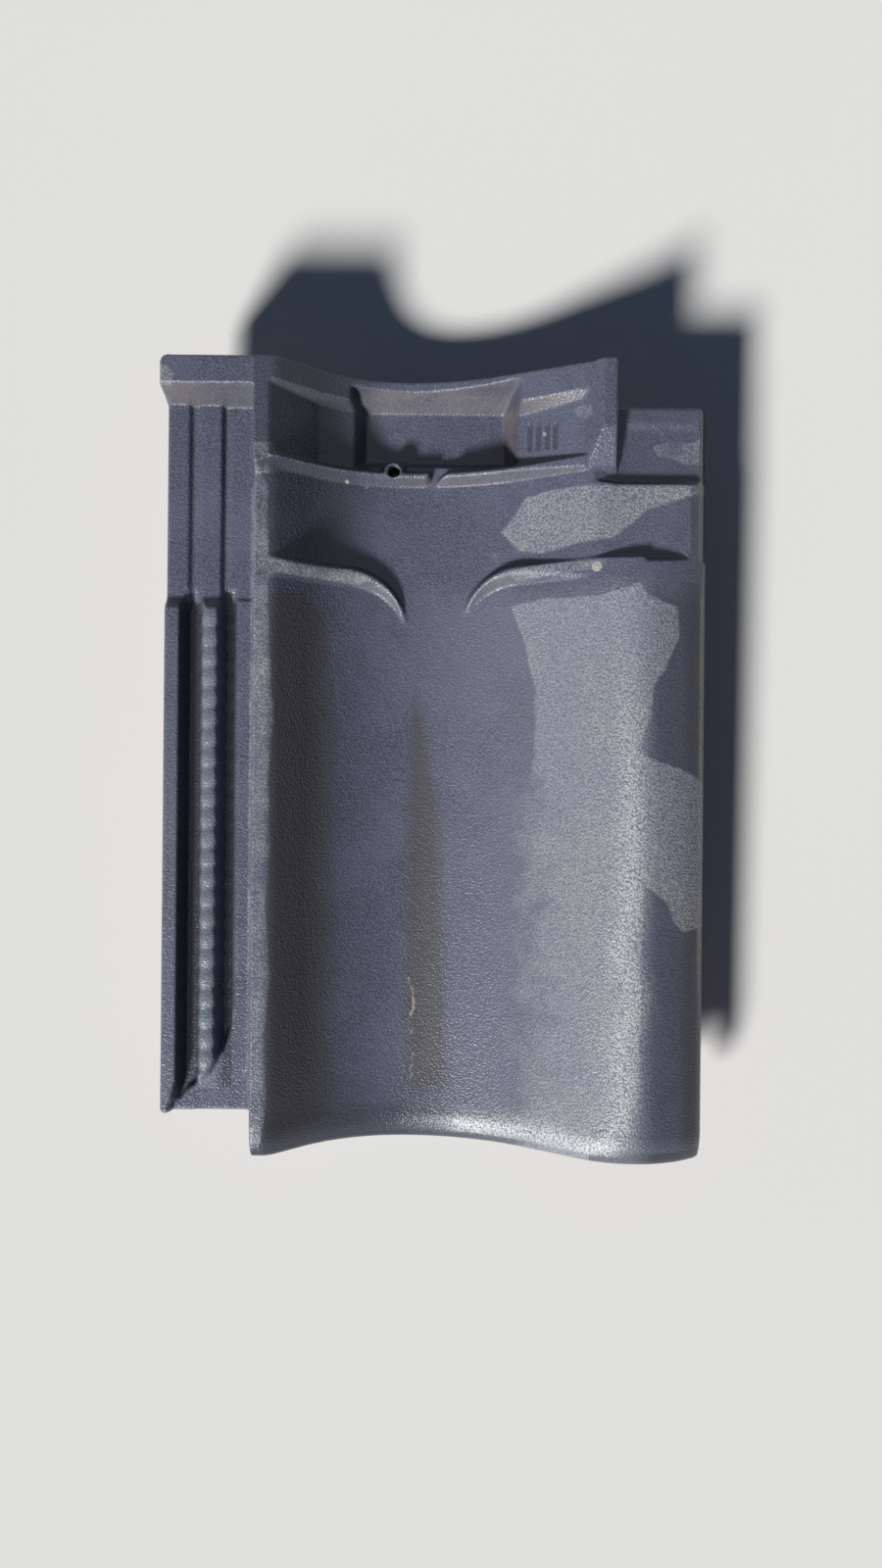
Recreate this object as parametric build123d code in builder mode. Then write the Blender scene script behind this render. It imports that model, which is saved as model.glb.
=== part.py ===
from build123d import *
from math import acos, asin, atan2, cos, degrees, radians, sin, tan
import os

os.makedirs("parts", exist_ok=True)

# Frame of the pressing: +X from the lock to the roll, +Y up the roof with
# y = 0 at the head edge, +Z out of the weather side with z = 0 under the pan

# Outline in plan
length = 365.7
cover_width = 210.0
lock_left_x = -128.8
lock_foot_setback = 19.4
corner_depth = 19.0
corner_round = 5.0
edge_round = 2.0

# Gaps between laid tiles
lap_gap = 1.2
edge_gap = 0.85
corner_gap = 2.7

# Wave of pan and roll
wall = 11.0
pan_x = -16.0
pan_left_radius = 68.0
pan_left_angle = 45.0
flank_angle = 35.0
roll_wall = 12.2
roll_radius = 44.0
roll_edge_radius = 10.0

# Ridge between lock and pan
ridge_x = -87.3
ridge_top = 45.5
ridge_lean = 0.09
ridge_round = 1.6
ridge_hollow_z = 30.3
ridge_hollow_width = 9.5

# Side lock along its middle
lock_back_z = 21.5
lock_back_lean = 1.8
lock_rib_top = 40.0
lock_rib_round = 0.9
channel_depth = 10.0
channel_lean = 3.0
channel_1_left_x = -121.7
bead_rib_left_x = -110.4
bead_rib_width = 5.8
channel_2_lean = 3.6
channel_2_floor_width = 3.7
shelf_left_x = -96.5
shelf_z = 33.5
shelf_round = 2.5

# Beads along the middle rib of the lock
bead_pitch = 9.3
bead_first_y = -112.0
bead_end_gap = 20.0
bead_notch_radius = 3.4
bead_notch_depth = 0.9
bead_notch_overhang = 1.6

# Head end of the lock, from its outer edge to the ridge
lock_head_y = -107.0
lock_head_wall_y = -17.0
lock_head_lean = 48.0
lock_outer_x = -118.6
lock_outer_z = 35.0
lock_groove_x = -114.6
lock_groove_z = 33.2
lock_middle_x = -103.8
lock_middle_z = 34.2
lock_inner_x = -90.0
lock_inner_z = 32.0
lock_step_run = 1.8
channel_start_rise = 3.2
channel_start_run = 9.0

# Apron that closes both channels, with its edge's rise above the foot of the lock
apron_top_rise = 50.0
apron_bend = (-100.6, 29.5)
apron_hip = (-112.5, 15.0)
apron_foot_rise = 5.5
apron_crease_high = 19.1
apron_crease_x = -118.2
apron_crease_drop = 0.9

# Rim, ridge block and corner strip at the head
rim_top = 53.0
rim_lift = 7.0
rim_left_y = -13.5
rim_right_y = -18.5
rim_right_angle = 27.0
press_lean = 18.0
ridge_block_y = -51.0
ridge_block_slope = 6.0
ridge_block_right_x = -79.5
strip_rise = 1.0
strip_width = 7.0
strip_side_run = 6.5
strip_end_y = -31.0
strip_foot_y = -47.5

# Head end of the roll
roll_step_y = -89.2
middle_drop = 6.4
middle_radius = 22.0
middle_edge_radius = 7.0
ledge_drop = 5.5
ledge_y = -53.5
ramp_y = -46.0
ramp_run = 13.0
ramp_overlap = 1.5
border_rise = 1.2
border_head_width = 8.5
border_side_width = 4.0

# Pocket over the batten nib
pocket_floor_z = 6.5
pocket_left_x = -38.0
pocket_right_x = 29.6
pocket_left_rise = 9.9
pocket_right_rise = 17.5
pocket_side_run = 5.0
pocket_low_y = -37.0
pocket_high_y = -12.0
pocket_rim_y = -5.0
pocket_rim_rise = 11.5

# Batten nib
nib_depth = 12.0
nib_left_x = -38.0
nib_right_x = 30.0
nib_side_lean = 9.0
nib_face_y = -35.0
nib_face_lean = 4.5
nib_back_y = -17.0
nib_back_lean = 14.0
nib_root_z = 14.0

# Transverse ribs of the head lock
rib_1_low_y = -48.5
rib_1_high_y = -41.5
rib_2_low_y = -98.0
rib_2_high_y = -89.0
rib_2_lift = 6.0
rib_2_tip_y = -116.0
rib_2_tip_width = 0.8
rib_2_left_tip_x = -18.0
rib_2_left_bend_x = -46.0
rib_2_right_tip_x = 10.2
rib_2_right_bend_x = 36.0

# Drain notch and nail hole in the first rib
notch_head_left_x = -6.5
notch_head_right_x = 4.0
notch_foot_left_x = -8.6
notch_foot_right_x = -3.6
nail_x = -24.0
nail_y = -43.0
nail_radius = 3.1
collar_wall = 2.1
collar_rise = 0.5

# Front nose in two facets
nose_run = 15.0
nose_angle = 10.0
nose_tip_run = 7.0
nose_tip_angle = 36.0

# Back of the roll, which laps the lock of the next tile
lap_rib_foot = 4.0
skirt_rise = 1.5
skirt_land = 0.45

# Levels that follow from the lock and the gaps
channel_floor_z = lock_rib_top - channel_depth
roof_z = lock_rib_top + lap_gap
crest_z = roof_z + roll_wall
middle_z = crest_z - middle_drop
ledge_z = middle_z - ledge_drop
head_lap_z = lock_outer_z + lap_gap
skirt_z = shelf_z + skirt_rise
strip_top = rim_top + strip_rise
sky = crest_z + wall * 2
ground = -nib_depth - wall

# Places that follow from the neighbouring tile and the ends
skirt_x = ridge_x + cover_width - edge_gap
edge_centre_x = skirt_x - roll_edge_radius
edge_centre_z = skirt_z + skirt_land
roll_turn = degrees(acos((edge_centre_z - crest_z + roll_radius) / (roll_radius - roll_edge_radius)))
roll_x = skirt_x - roll_edge_radius - (roll_radius - roll_edge_radius) * sin(radians(roll_turn))
corner_x = lock_left_x + cover_width - corner_gap
strip_left_x = corner_x - strip_width
strip_foot_x = strip_left_x - strip_side_run
ramp_right_x = corner_x + ramp_overlap
ramp_left_x = ramp_right_x - ramp_run
front_y = -length
lock_foot_y = front_y + lock_foot_setback
lock_foot_right_x = ridge_x - lap_gap
head_lap_y = lock_head_y + lap_gap
bead_rib_right_x = bead_rib_left_x + bead_rib_width
bead_count = int((bead_first_y - lock_foot_y - bead_end_gap) / bead_pitch) + 1
lap_rib_x = (channel_1_left_x + bead_rib_left_x) / 2 + cover_width

# Wave: pan arcs, flanks and roll arc, tangent to one another
flank_sin = sin(radians(flank_angle))
flank_cos = cos(radians(flank_angle))
both_radii = ((roll_x - pan_x) * flank_sin - (crest_z - wall) * flank_cos) / (1 - flank_cos)
pan_right_radius = both_radii - roll_radius
pan_left_centre = (pan_x, wall + pan_left_radius)
pan_right_centre = (pan_x, wall + pan_right_radius)
flank_foot_x = pan_x + pan_right_radius * flank_sin
flank_foot_z = wall + pan_right_radius * (1 - flank_cos)
roll_centre = (roll_x, crest_z - roll_radius)
roll_start_x = roll_x - roll_radius * flank_sin
lap_face_x = channel_1_left_x + cover_width + lap_gap
lap_turn = degrees(asin((lap_face_x - roll_x) / (roll_radius - wall)))


def across(y):
    """Plane square to the length of the tile, its normal towards the front."""
    return Plane(origin=(0, y, 0), x_dir=(1, 0, 0), z_dir=(0, -1, 0))


def along(x):
    """Plane square to the width of the tile, its normal towards the roll."""
    return Plane(origin=(x, 0, 0), x_dir=(0, 1, 0), z_dir=(1, 0, 0))


def flank_x(lift, z):
    """Place on the pan's left flank, offset by lift, at the height z."""
    foot_x = pan_x - (pan_left_radius - lift) * sin(radians(pan_left_angle))
    foot_z = pan_left_centre[1] - (pan_left_radius - lift) * cos(radians(pan_left_angle))
    return foot_x - (z - foot_z) / tan(radians(pan_left_angle))


def bend_centre(top_z, radius):
    """Centre of the arc that runs out of the right flank and levels at top_z."""
    drop = (top_z - radius - flank_foot_z) * flank_cos
    return flank_foot_x + (drop + radius) / flank_sin, top_z - radius


def wave(lift, left_z, right_turn):
    """Draw pan and roll offset by lift and return the two end points."""
    left_arc = CenterArc(pan_left_centre, pan_left_radius - lift, 270 - pan_left_angle, pan_left_angle)
    right_arc = CenterArc(pan_right_centre, pan_right_radius - lift, 270, flank_angle)
    roll_arc = CenterArc(roll_centre, roll_radius + lift, 90 + flank_angle, -flank_angle - right_turn)
    left_end = (flank_x(lift, left_z), left_z)
    Line(left_end, left_arc @ 0)
    Line(right_arc @ 1, roll_arc @ 0)
    return left_end, roll_arc @ 1


def soften(section, radius, *corners):
    """Round those corners of a section that lie nearest to the given points."""
    for corner in corners:
        fillet(section.vertices().sort_by_distance(corner)[0], radius=radius)


def body_section(y):
    """Whole section, with the lock still solid up to its rib tops."""
    ridge_left = (ridge_x + (ridge_top - lock_rib_top) * ridge_lean, ridge_top)
    with BuildSketch(across(y)) as section:
        with BuildLine():
            ridge_right, _ = wave(0, ridge_top, roll_turn)
            back_left, back_right = wave(-wall, ridge_hollow_z, lap_turn)
            edge_arc = CenterArc(
                (edge_centre_x, edge_centre_z), roll_edge_radius, 90 - roll_turn, roll_turn - 90
            )
            Polyline(
                back_left,
                (back_left[0] - ridge_hollow_width, lock_back_z),
                (lock_left_x - lock_back_lean, lock_back_z),
                (lock_left_x, lock_rib_top),
                (ridge_x, lock_rib_top),
                ridge_left,
                ridge_right,
            )
            Polyline(
                edge_arc @ 1,
                (skirt_x, skirt_z),
                (shelf_left_x + cover_width - lap_gap, skirt_z),
                (shelf_left_x + cover_width - channel_lean, roof_z),
                (bead_rib_left_x + cover_width - lap_gap, roof_z),
                (lap_rib_x + lap_rib_foot / 2, channel_floor_z + lap_gap),
                (lap_rib_x - lap_rib_foot / 2, channel_floor_z + lap_gap),
                back_right,
            )
        make_face()
        soften(section, ridge_round, ridge_left, ridge_right)
        soften(section, lock_rib_round, (lock_left_x, lock_rib_top))
        soften(section, lap_gap, (lock_left_x - lock_back_lean, lock_back_z), back_left)
    return section.sketch


def channel_section(y):
    """Two channels of the lock and the shelf beside the ridge."""
    clear_z = lock_rib_top + lock_rib_round
    channel_2_x = bead_rib_right_x + channel_2_lean
    channel_2_end_x = channel_2_x + channel_2_floor_width
    with BuildSketch(across(y)) as section:
        with BuildLine():
            left_lip = CenterArc(
                (channel_1_left_x - lock_rib_round, lock_rib_top - lock_rib_round), lock_rib_round, 90, -90
            )
            right_lip = CenterArc(
                (bead_rib_left_x + lock_rib_round, lock_rib_top - lock_rib_round), lock_rib_round, 180, -90
            )
            Polyline(
                left_lip @ 1,
                (channel_1_left_x + channel_lean, channel_floor_z),
                (bead_rib_left_x - channel_lean, channel_floor_z),
                right_lip @ 0,
            )
            Polyline(left_lip @ 0, ((left_lip @ 0).X, clear_z), ((right_lip @ 1).X, clear_z), right_lip @ 1)
        make_face()
        with BuildLine():
            bead_lip = CenterArc(
                (bead_rib_right_x - lock_rib_round, lock_rib_top - lock_rib_round), lock_rib_round, 90, -90
            )
            Polyline(
                bead_lip @ 1,
                (channel_2_x, channel_floor_z),
                (channel_2_end_x, channel_floor_z),
                (shelf_left_x, shelf_z),
                (ridge_x, shelf_z),
                (ridge_x, clear_z),
                ((bead_lip @ 0).X, clear_z),
                bead_lip @ 0,
            )
        make_face()
        soften(section, lock_rib_round, (channel_1_left_x + channel_lean, channel_floor_z))
        soften(section, lock_rib_round, (bead_rib_left_x - channel_lean, channel_floor_z))
        soften(section, lock_rib_round, (channel_2_x, channel_floor_z), (channel_2_end_x, channel_floor_z))
        soften(section, shelf_round, (ridge_x, shelf_z))
    return section.sketch


def shelf_section(y):
    """Space over the shelf between the lock's outer rib and the ridge."""
    with BuildSketch(across(y)) as section:
        with BuildLine():
            Polyline(
                (channel_1_left_x, lock_rib_top + lap_gap),
                (channel_1_left_x, lock_rib_top),
                (channel_1_left_x + channel_lean, shelf_z),
                (ridge_x, shelf_z),
                (ridge_x, lock_rib_top + lap_gap),
                close=True,
            )
        make_face()
        soften(section, shelf_round, (ridge_x, shelf_z))
    return section.sketch


def lock_head_section(y):
    """Space over the stepped head end of the lock."""
    with BuildSketch(across(y)) as section:
        with BuildLine():
            Polyline(
                (lock_left_x - channel_lean, sky),
                (lock_left_x - channel_lean, lock_outer_z),
                (lock_outer_x, lock_outer_z),
                (lock_outer_x + lock_step_run, lock_groove_z),
                (lock_groove_x, lock_groove_z),
                (lock_groove_x + lock_step_run, lock_middle_z),
                (lock_middle_x, lock_middle_z),
                (lock_middle_x + lock_step_run, lock_inner_z),
                (lock_inner_x, lock_inner_z),
                (ridge_x, shelf_z),
                (ridge_x, lock_rib_top),
                (ridge_x + (sky - lock_rib_top) * ridge_lean, sky),
                close=True,
            )
        make_face()
        soften(section, shelf_round, (ridge_x, shelf_z))
    return section.sketch


def head_block_section(y):
    """Ridge block, rim and corner strip as one raised block on the wave."""
    rim_left = (flank_x(rim_lift, rim_top), rim_top)
    rim_radius = pan_right_radius - rim_lift
    rim_end_x = pan_x + rim_radius * sin(radians(rim_right_angle))
    rim_end_z = pan_right_centre[1] - rim_radius * cos(radians(rim_right_angle))
    strip_foot_z = rim_end_z + (strip_foot_x - rim_end_x) * tan(radians(rim_right_angle))
    with BuildSketch(across(y)) as section:
        with BuildLine():
            pan_arc = CenterArc(
                pan_left_centre, pan_left_radius - rim_lift, 270 - pan_left_angle, pan_left_angle
            )
            CenterArc(pan_right_centre, rim_radius, 270, rim_right_angle)
            core_left, core_right = wave(-wall / 2, lock_rib_top - lap_gap, -flank_angle / 2)
            Line(rim_left, pan_arc @ 0)
            Polyline(
                (rim_end_x, rim_end_z),
                (strip_foot_x, strip_foot_z),
                (strip_left_x, strip_top),
                (corner_x, strip_top),
                (corner_x, core_right.Y),
                core_right,
            )
            Polyline(
                core_left,
                (ridge_x, core_left[1]),
                (ridge_x, lock_rib_top),
                (ridge_x + (rim_top - lock_rib_top) * ridge_lean, rim_top),
                rim_left,
            )
        make_face()
        soften(section, ridge_round, (corner_x, strip_top), (strip_left_x, strip_top), rim_left)
    return section.sketch


def recess_section(y, left_x, right_x):
    """Space over the pan between the ridge block and the corner strip."""
    block_foot_z = ridge_top - lap_gap
    with BuildSketch(across(y)) as section:
        with BuildLine():
            flank_left, roll_right = wave(0, block_foot_z, -flank_angle / 2)
            Polyline(
                flank_left,
                (ridge_block_right_x, rim_top),
                (ridge_block_right_x, sky),
                (roll_right.X, sky),
                roll_right,
            )
        make_face()
        with BuildLine():
            Polyline(
                (strip_foot_x, roll_right.Y - strip_width),
                (strip_foot_x, ridge_top),
                (strip_left_x, strip_top),
                (strip_left_x, sky),
                (skirt_x, sky),
                (skirt_x, roll_right.Y - strip_width),
                close=True,
            )
        make_face(mode=Mode.SUBTRACT)
        with Locations(((left_x + right_x) / 2, sky / 2)):
            Rectangle(right_x - left_x, sky * 2, mode=Mode.INTERSECT)
    return section.sketch


def left_recess_section(y):
    """Recess left of the pan's lowest line."""
    return recess_section(y, lock_left_x, pan_x)


def right_recess_section(y):
    """Recess right of the pan's lowest line."""
    return recess_section(y, pan_x, skirt_x)


def whole_recess_section(y):
    """Recess over the whole pan."""
    return recess_section(y, lock_left_x, skirt_x)


def middle_section(y):
    """Space over the lowered roll between the second rib and the ledge."""
    centre = bend_centre(middle_z, middle_radius)
    outer_x = skirt_x + wall
    with BuildSketch(across(y)) as section:
        with BuildLine():
            bend = CenterArc(centre, middle_radius, 90 + flank_angle, -flank_angle)
            edge = CenterArc(
                (skirt_x - middle_edge_radius, middle_z - middle_edge_radius), middle_edge_radius, 90, -90
            )
            Line(bend @ 1, edge @ 0)
            Polyline(
                edge @ 1,
                (outer_x, middle_z - middle_edge_radius),
                (outer_x, sky),
                ((bend @ 0).X, sky),
                bend @ 0,
            )
        make_face()
    return section.sketch


def nose_section(y):
    """Space over ridge, pan and roll."""
    outer_x = skirt_x + wall
    left_x = lock_foot_right_x - wall
    with BuildSketch(across(y)) as section:
        with BuildLine():
            ridge_right, _ = wave(0, ridge_top, roll_turn)
            edge_arc = CenterArc(
                (edge_centre_x, edge_centre_z), roll_edge_radius, 90 - roll_turn, roll_turn - 90
            )
            Polyline(
                ridge_right,
                (left_x, ridge_top),
                (left_x, sky),
                (outer_x, sky),
                (outer_x, edge_centre_z),
                edge_arc @ 1,
            )
        make_face()
    return section.sketch


def press(section, high_y, low_y, lean_high, lean_low):
    """Space over a section between two cross walls that lean back as they rise."""
    reach = sky - ledge_z + roll_wall
    space = extrude(section(high_y), amount=high_y - low_y, mode=Mode.PRIVATE)
    if lean_high > 0:
        high_lean = (0, tan(radians(lean_high)), 1)
        space += extrude(section(high_y), amount=reach, dir=high_lean, mode=Mode.PRIVATE)
    if lean_low > 0:
        low_lean = (0, -tan(radians(lean_low)), 1)
        space += extrude(section(low_y), amount=reach, dir=low_lean, mode=Mode.PRIVATE)
    return space


def closed(plane, points):
    """Flat outline through the given points."""
    with BuildSketch(plane) as outline:
        with BuildLine():
            Polyline(*points, close=True)
        make_face()
    return outline.sketch


def cross_bar(high_y, low_y, points):
    """Body with a given outline across the tile, from high_y down to low_y."""
    return extrude(closed(across(high_y), points), amount=high_y - low_y, mode=Mode.PRIVATE)


def side_bar(left_x, right_x, points):
    """Body with a given outline along the tile, from left_x to right_x."""
    return extrude(closed(along(left_x), points), amount=right_x - left_x, mode=Mode.PRIVATE)


def upright(low_z, points):
    """Body over a plan outline, from low_z to above the tile."""
    return extrude(closed(Plane.XY.offset(low_z), points), amount=sky - low_z, mode=Mode.PRIVATE)


def box_points(left, low, right, high):
    """Corners of an upright rectangle."""
    return [(left, low), (right, low), (right, high), (left, high)]


def rib_2_section(y):
    """Section of the second rib, which runs out into the roll on its right."""
    top_radius = pan_right_radius - rib_2_lift
    reach_x = roll_x - pan_x
    reach_z = roll_centre[1] - pan_right_centre[1]
    reach = (reach_x**2 + reach_z**2) ** 0.5
    top_angle = degrees(atan2(reach_z, reach_x) + radians(90) - atan2(
        (reach**2 - (top_radius + roll_radius) ** 2) ** 0.5, top_radius + roll_radius
    ))
    core_lift = -wall / 4
    rib_left = flank_x(rib_2_lift, ridge_top)
    with BuildSketch(across(y)) as section:
        with BuildLine():
            left_arc = CenterArc(
                pan_left_centre, pan_left_radius - rib_2_lift, 270 - pan_left_angle, pan_left_angle
            )
            right_arc = CenterArc(pan_right_centre, top_radius, 270, top_angle)
            roll_arc = CenterArc(roll_centre, roll_radius, 90 + top_angle, -top_angle)
            core_left, core_right = wave(core_lift, ridge_top + core_lift, 0)
            Line((rib_left, ridge_top), left_arc @ 0)
            Line(right_arc @ 1, roll_arc @ 0)
            Line(roll_arc @ 1, core_right)
            Polyline((rib_left, ridge_top), (core_left[0], ridge_top), core_left)
        make_face()
    return section.sketch


def rib_2_outline(tip_x, bend_x, end_x, side):
    """Plan of one half of the second rib, from its tip round to its outer end."""
    with BuildSketch(Plane.XY.offset(ground)) as outline:
        with BuildLine():
            tip_inner = (tip_x + side * rib_2_tip_width / 2, rib_2_tip_y)
            tip_outer = (tip_x - side * rib_2_tip_width / 2, rib_2_tip_y)
            upper = TangentArc((bend_x, rib_2_high_y), tip_inner, tangent=(side, 0))
            lower = TangentArc((bend_x, rib_2_low_y), tip_outer, tangent=(side, 0))
            Line(upper @ 1, lower @ 1)
            Polyline(upper @ 0, (end_x, rib_2_high_y), (end_x, rib_2_low_y), lower @ 0)
        make_face()
    return outline.sketch


def apron_outline(z):
    """Plan of the apron, with a curved edge towards both channels."""
    with BuildSketch(Plane.XY.offset(z)) as outline:
        with BuildLine():
            edge = Spline(
                (shelf_left_x, lock_foot_y + apron_top_rise),
                (apron_bend[0], lock_foot_y + apron_bend[1]),
                (apron_hip[0], lock_foot_y + apron_hip[1]),
                (channel_1_left_x, lock_foot_y + apron_foot_rise),
            )
            Polyline(
                edge @ 0,
                (ridge_x + lap_gap, lock_foot_y + apron_top_rise),
                (ridge_x + lap_gap, lock_foot_y - wall),
                (lock_left_x - wall, lock_foot_y - wall),
                (lock_left_x - wall, lock_foot_y),
                edge @ 1,
            )
        make_face()
    return outline.sketch


with BuildPart() as pressing:
    extrude(body_section(0), amount=length)

    # Ridge block, rim and corner strip, with the rim carried over the lock
    extrude(head_block_section(0), amount=-ridge_block_y)
    rim_over_lock = [
        (lock_left_x, channel_floor_z),
        (lock_left_x + lock_back_lean / 2, rim_top),
        (ridge_block_right_x, rim_top),
        (ridge_block_right_x, channel_floor_z),
    ]
    add(cross_bar(0, lock_head_wall_y, rim_over_lock))

    # Thicker roll where it laps the stepped head end of the next lock
    head_lap_left_x = roll_start_x + strip_width
    head_lap_right_x = skirt_x - roll_edge_radius
    head_lap = [
        (head_lap_left_x, head_lap_z),
        (head_lap_right_x, head_lap_z),
        (head_lap_right_x, ledge_z),
        (roll_x, middle_z - lap_gap),
        (head_lap_left_x + wall, middle_z - lap_gap),
        (head_lap_left_x, head_lap_z + lap_gap),
    ]
    add(cross_bar(-corner_depth, head_lap_y, head_lap))
    lap_rib_field = box_points(
        roll_start_x + wall, ground, shelf_left_x + cover_width - lap_gap, head_lap_z
    )
    add(cross_bar(0, head_lap_y, lap_rib_field), mode=Mode.SUBTRACT)

    # Batten nib
    nib_section = [
        (nib_left_x, -nib_depth),
        (nib_right_x, -nib_depth),
        (nib_right_x + nib_side_lean, nib_root_z),
        (pan_x, wall / 2),
        (nib_left_x - nib_side_lean, nib_root_z),
    ]
    nib_side = [
        (nib_face_y, -nib_depth),
        (nib_back_y, -nib_depth),
        (nib_back_y + nib_back_lean, nib_root_z),
        (nib_face_y - nib_face_lean, nib_root_z),
    ]
    add(cross_bar(0, rib_1_low_y, nib_section) & side_bar(ridge_x, skirt_x, nib_side))

    # Roll stepped down towards the head, ramp, ledge and its raised border
    add(press(middle_section, ramp_y, roll_step_y, 0, press_lean), mode=Mode.SUBTRACT)
    ramp = [(ramp_left_x, middle_z), (ramp_right_x, ledge_z), (ramp_right_x, sky), (ramp_left_x, sky)]
    add(cross_bar(ramp_y, ledge_y, ramp), mode=Mode.SUBTRACT)
    border_top = box_points(corner_x, ledge_z + border_rise, skirt_x + wall, sky)
    add(cross_bar(0, ledge_y, border_top), mode=Mode.SUBTRACT)
    ledge_field = box_points(corner_x, ledge_z, skirt_x - border_side_width, sky)
    add(cross_bar(-corner_depth - border_head_width, ledge_y, ledge_field), mode=Mode.SUBTRACT)

    # Recesses behind the rim and below the first rib
    add(press(left_recess_section, rim_left_y, rib_1_high_y, press_lean, press_lean), mode=Mode.SUBTRACT)
    add(press(right_recess_section, rim_right_y, rib_1_high_y, press_lean, press_lean), mode=Mode.SUBTRACT)
    rib_1_foot = press(whole_recess_section, rib_1_low_y, ridge_block_y - lap_gap, press_lean, 0)
    add(rib_1_foot, mode=Mode.SUBTRACT)

    # Sloping ends of the ridge block and of the corner strip
    block_slope = [
        (ridge_block_y + ridge_block_slope, rim_top),
        (ridge_block_y, ridge_top),
        (ridge_block_y - lap_gap, ridge_top),
        (ridge_block_y - lap_gap, sky),
        (ridge_block_y + ridge_block_slope, sky),
    ]
    add(side_bar(ridge_x, roll_start_x - wall, block_slope), mode=Mode.SUBTRACT)
    strip_slope = [
        (strip_end_y, strip_top),
        (strip_foot_y, middle_z),
        (ridge_block_y - lap_gap, middle_z),
        (ridge_block_y - lap_gap, sky),
        (strip_end_y, sky),
    ]
    add(side_bar(strip_foot_x, corner_x + strip_width, strip_slope), mode=Mode.SUBTRACT)

    # Pocket
    pocket_section = [
        (pocket_left_x, pocket_floor_z),
        (pocket_right_x, pocket_floor_z),
        (pocket_right_x + pocket_side_run, pocket_floor_z + pocket_right_rise),
        (pocket_right_x + pocket_side_run, sky),
        (pocket_left_x - pocket_side_run, sky),
        (pocket_left_x - pocket_side_run, pocket_floor_z + pocket_left_rise),
    ]
    pocket_side = [
        (pocket_low_y, pocket_floor_z),
        (pocket_high_y, pocket_floor_z),
        (pocket_rim_y, pocket_floor_z + pocket_rim_rise),
        (pocket_rim_y, sky),
        (pocket_low_y - edge_round, sky),
        (pocket_low_y - edge_round, wall),
    ]
    pocket = cross_bar(0, rib_1_high_y, pocket_section) & side_bar(ridge_x, skirt_x, pocket_side)
    add(pocket, mode=Mode.SUBTRACT)

    # Second rib in two curved halves
    rib_2_body = extrude(rib_2_section(rib_2_high_y), amount=rib_2_high_y - rib_2_tip_y, mode=Mode.PRIVATE)
    rib_2_left = rib_2_outline(rib_2_left_tip_x, rib_2_left_bend_x, ridge_x + ridge_round, 1)
    rib_2_right = rib_2_outline(rib_2_right_tip_x, rib_2_right_bend_x, roll_x, -1)
    add(rib_2_body & extrude(rib_2_left, amount=sky - ground, mode=Mode.PRIVATE))
    add(rib_2_body & extrude(rib_2_right, amount=sky - ground, mode=Mode.PRIVATE))

    # Lock: stepped head end, channels, shelf and apron
    lock_head = press(lock_head_section, lock_head_wall_y, lock_head_y, press_lean, lock_head_lean)
    add(lock_head, mode=Mode.SUBTRACT)
    apron_field = extrude(apron_outline(ground), amount=sky - ground, mode=Mode.PRIVATE)
    channel_side = [
        (lock_head_y + channel_start_run / 2, channel_floor_z + channel_start_rise),
        (lock_head_y - channel_start_run / 2, channel_floor_z),
        (lock_foot_y - wall, channel_floor_z),
        (lock_foot_y - wall, sky),
        (lock_head_y + channel_start_run / 2, sky),
    ]
    lock_length = lock_head_y - lock_foot_y + wall
    channel_start_y = lock_head_y + channel_start_run / 2
    channels = extrude(channel_section(channel_start_y), amount=lock_length, mode=Mode.PRIVATE)
    channels &= side_bar(lock_left_x - wall, ridge_x, channel_side)
    add(channels - apron_field, mode=Mode.SUBTRACT)
    shelf = extrude(shelf_section(lock_head_y), amount=lock_length, mode=Mode.PRIVATE)
    add(shelf & apron_field, mode=Mode.SUBTRACT)
    crease = [
        (ridge_x - shelf_round, lock_foot_y + apron_crease_high),
        (apron_crease_x, lock_foot_y),
        (apron_crease_x, lock_foot_y - wall),
        (ridge_x - shelf_round, lock_foot_y - wall),
    ]
    add(upright(shelf_z - apron_crease_drop, crease), mode=Mode.SUBTRACT)

    # Beads on the lock's middle rib
    notch_z = lock_rib_top + bead_notch_radius - bead_notch_depth
    notch_x = bead_rib_left_x - bead_notch_overhang
    notch_places = [(notch_x, bead_first_y - count * bead_pitch, notch_z) for count in range(bead_count)]
    with Locations(*notch_places):
        Cylinder(
            bead_notch_radius,
            bead_rib_width + bead_notch_overhang * 2,
            rotation=(0, 90, 0),
            align=(Align.CENTER, Align.CENTER, Align.MIN),
            mode=Mode.SUBTRACT,
        )

    # Drain notch, nail collar and nail hole in the first rib
    drain_high_y = rib_1_high_y + collar_wall
    drain_low_y = rib_1_low_y - collar_wall
    drain = [
        (notch_head_left_x, drain_high_y),
        (notch_head_right_x, drain_high_y),
        (notch_foot_right_x, drain_low_y),
        (notch_foot_left_x, drain_low_y),
    ]
    drain_body = press(whole_recess_section, drain_high_y, drain_low_y, 0, 0)
    add(drain_body & upright(ground, drain), mode=Mode.SUBTRACT)
    with Locations((nail_x, nail_y, wall / 2)):
        Cylinder(
            nail_radius + collar_wall,
            wall / 2 + rim_lift + collar_rise,
            align=(Align.CENTER, Align.CENTER, Align.MIN),
        )
    with Locations((nail_x, nail_y, 0)):
        Cylinder(nail_radius, sky, mode=Mode.SUBTRACT)

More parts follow.
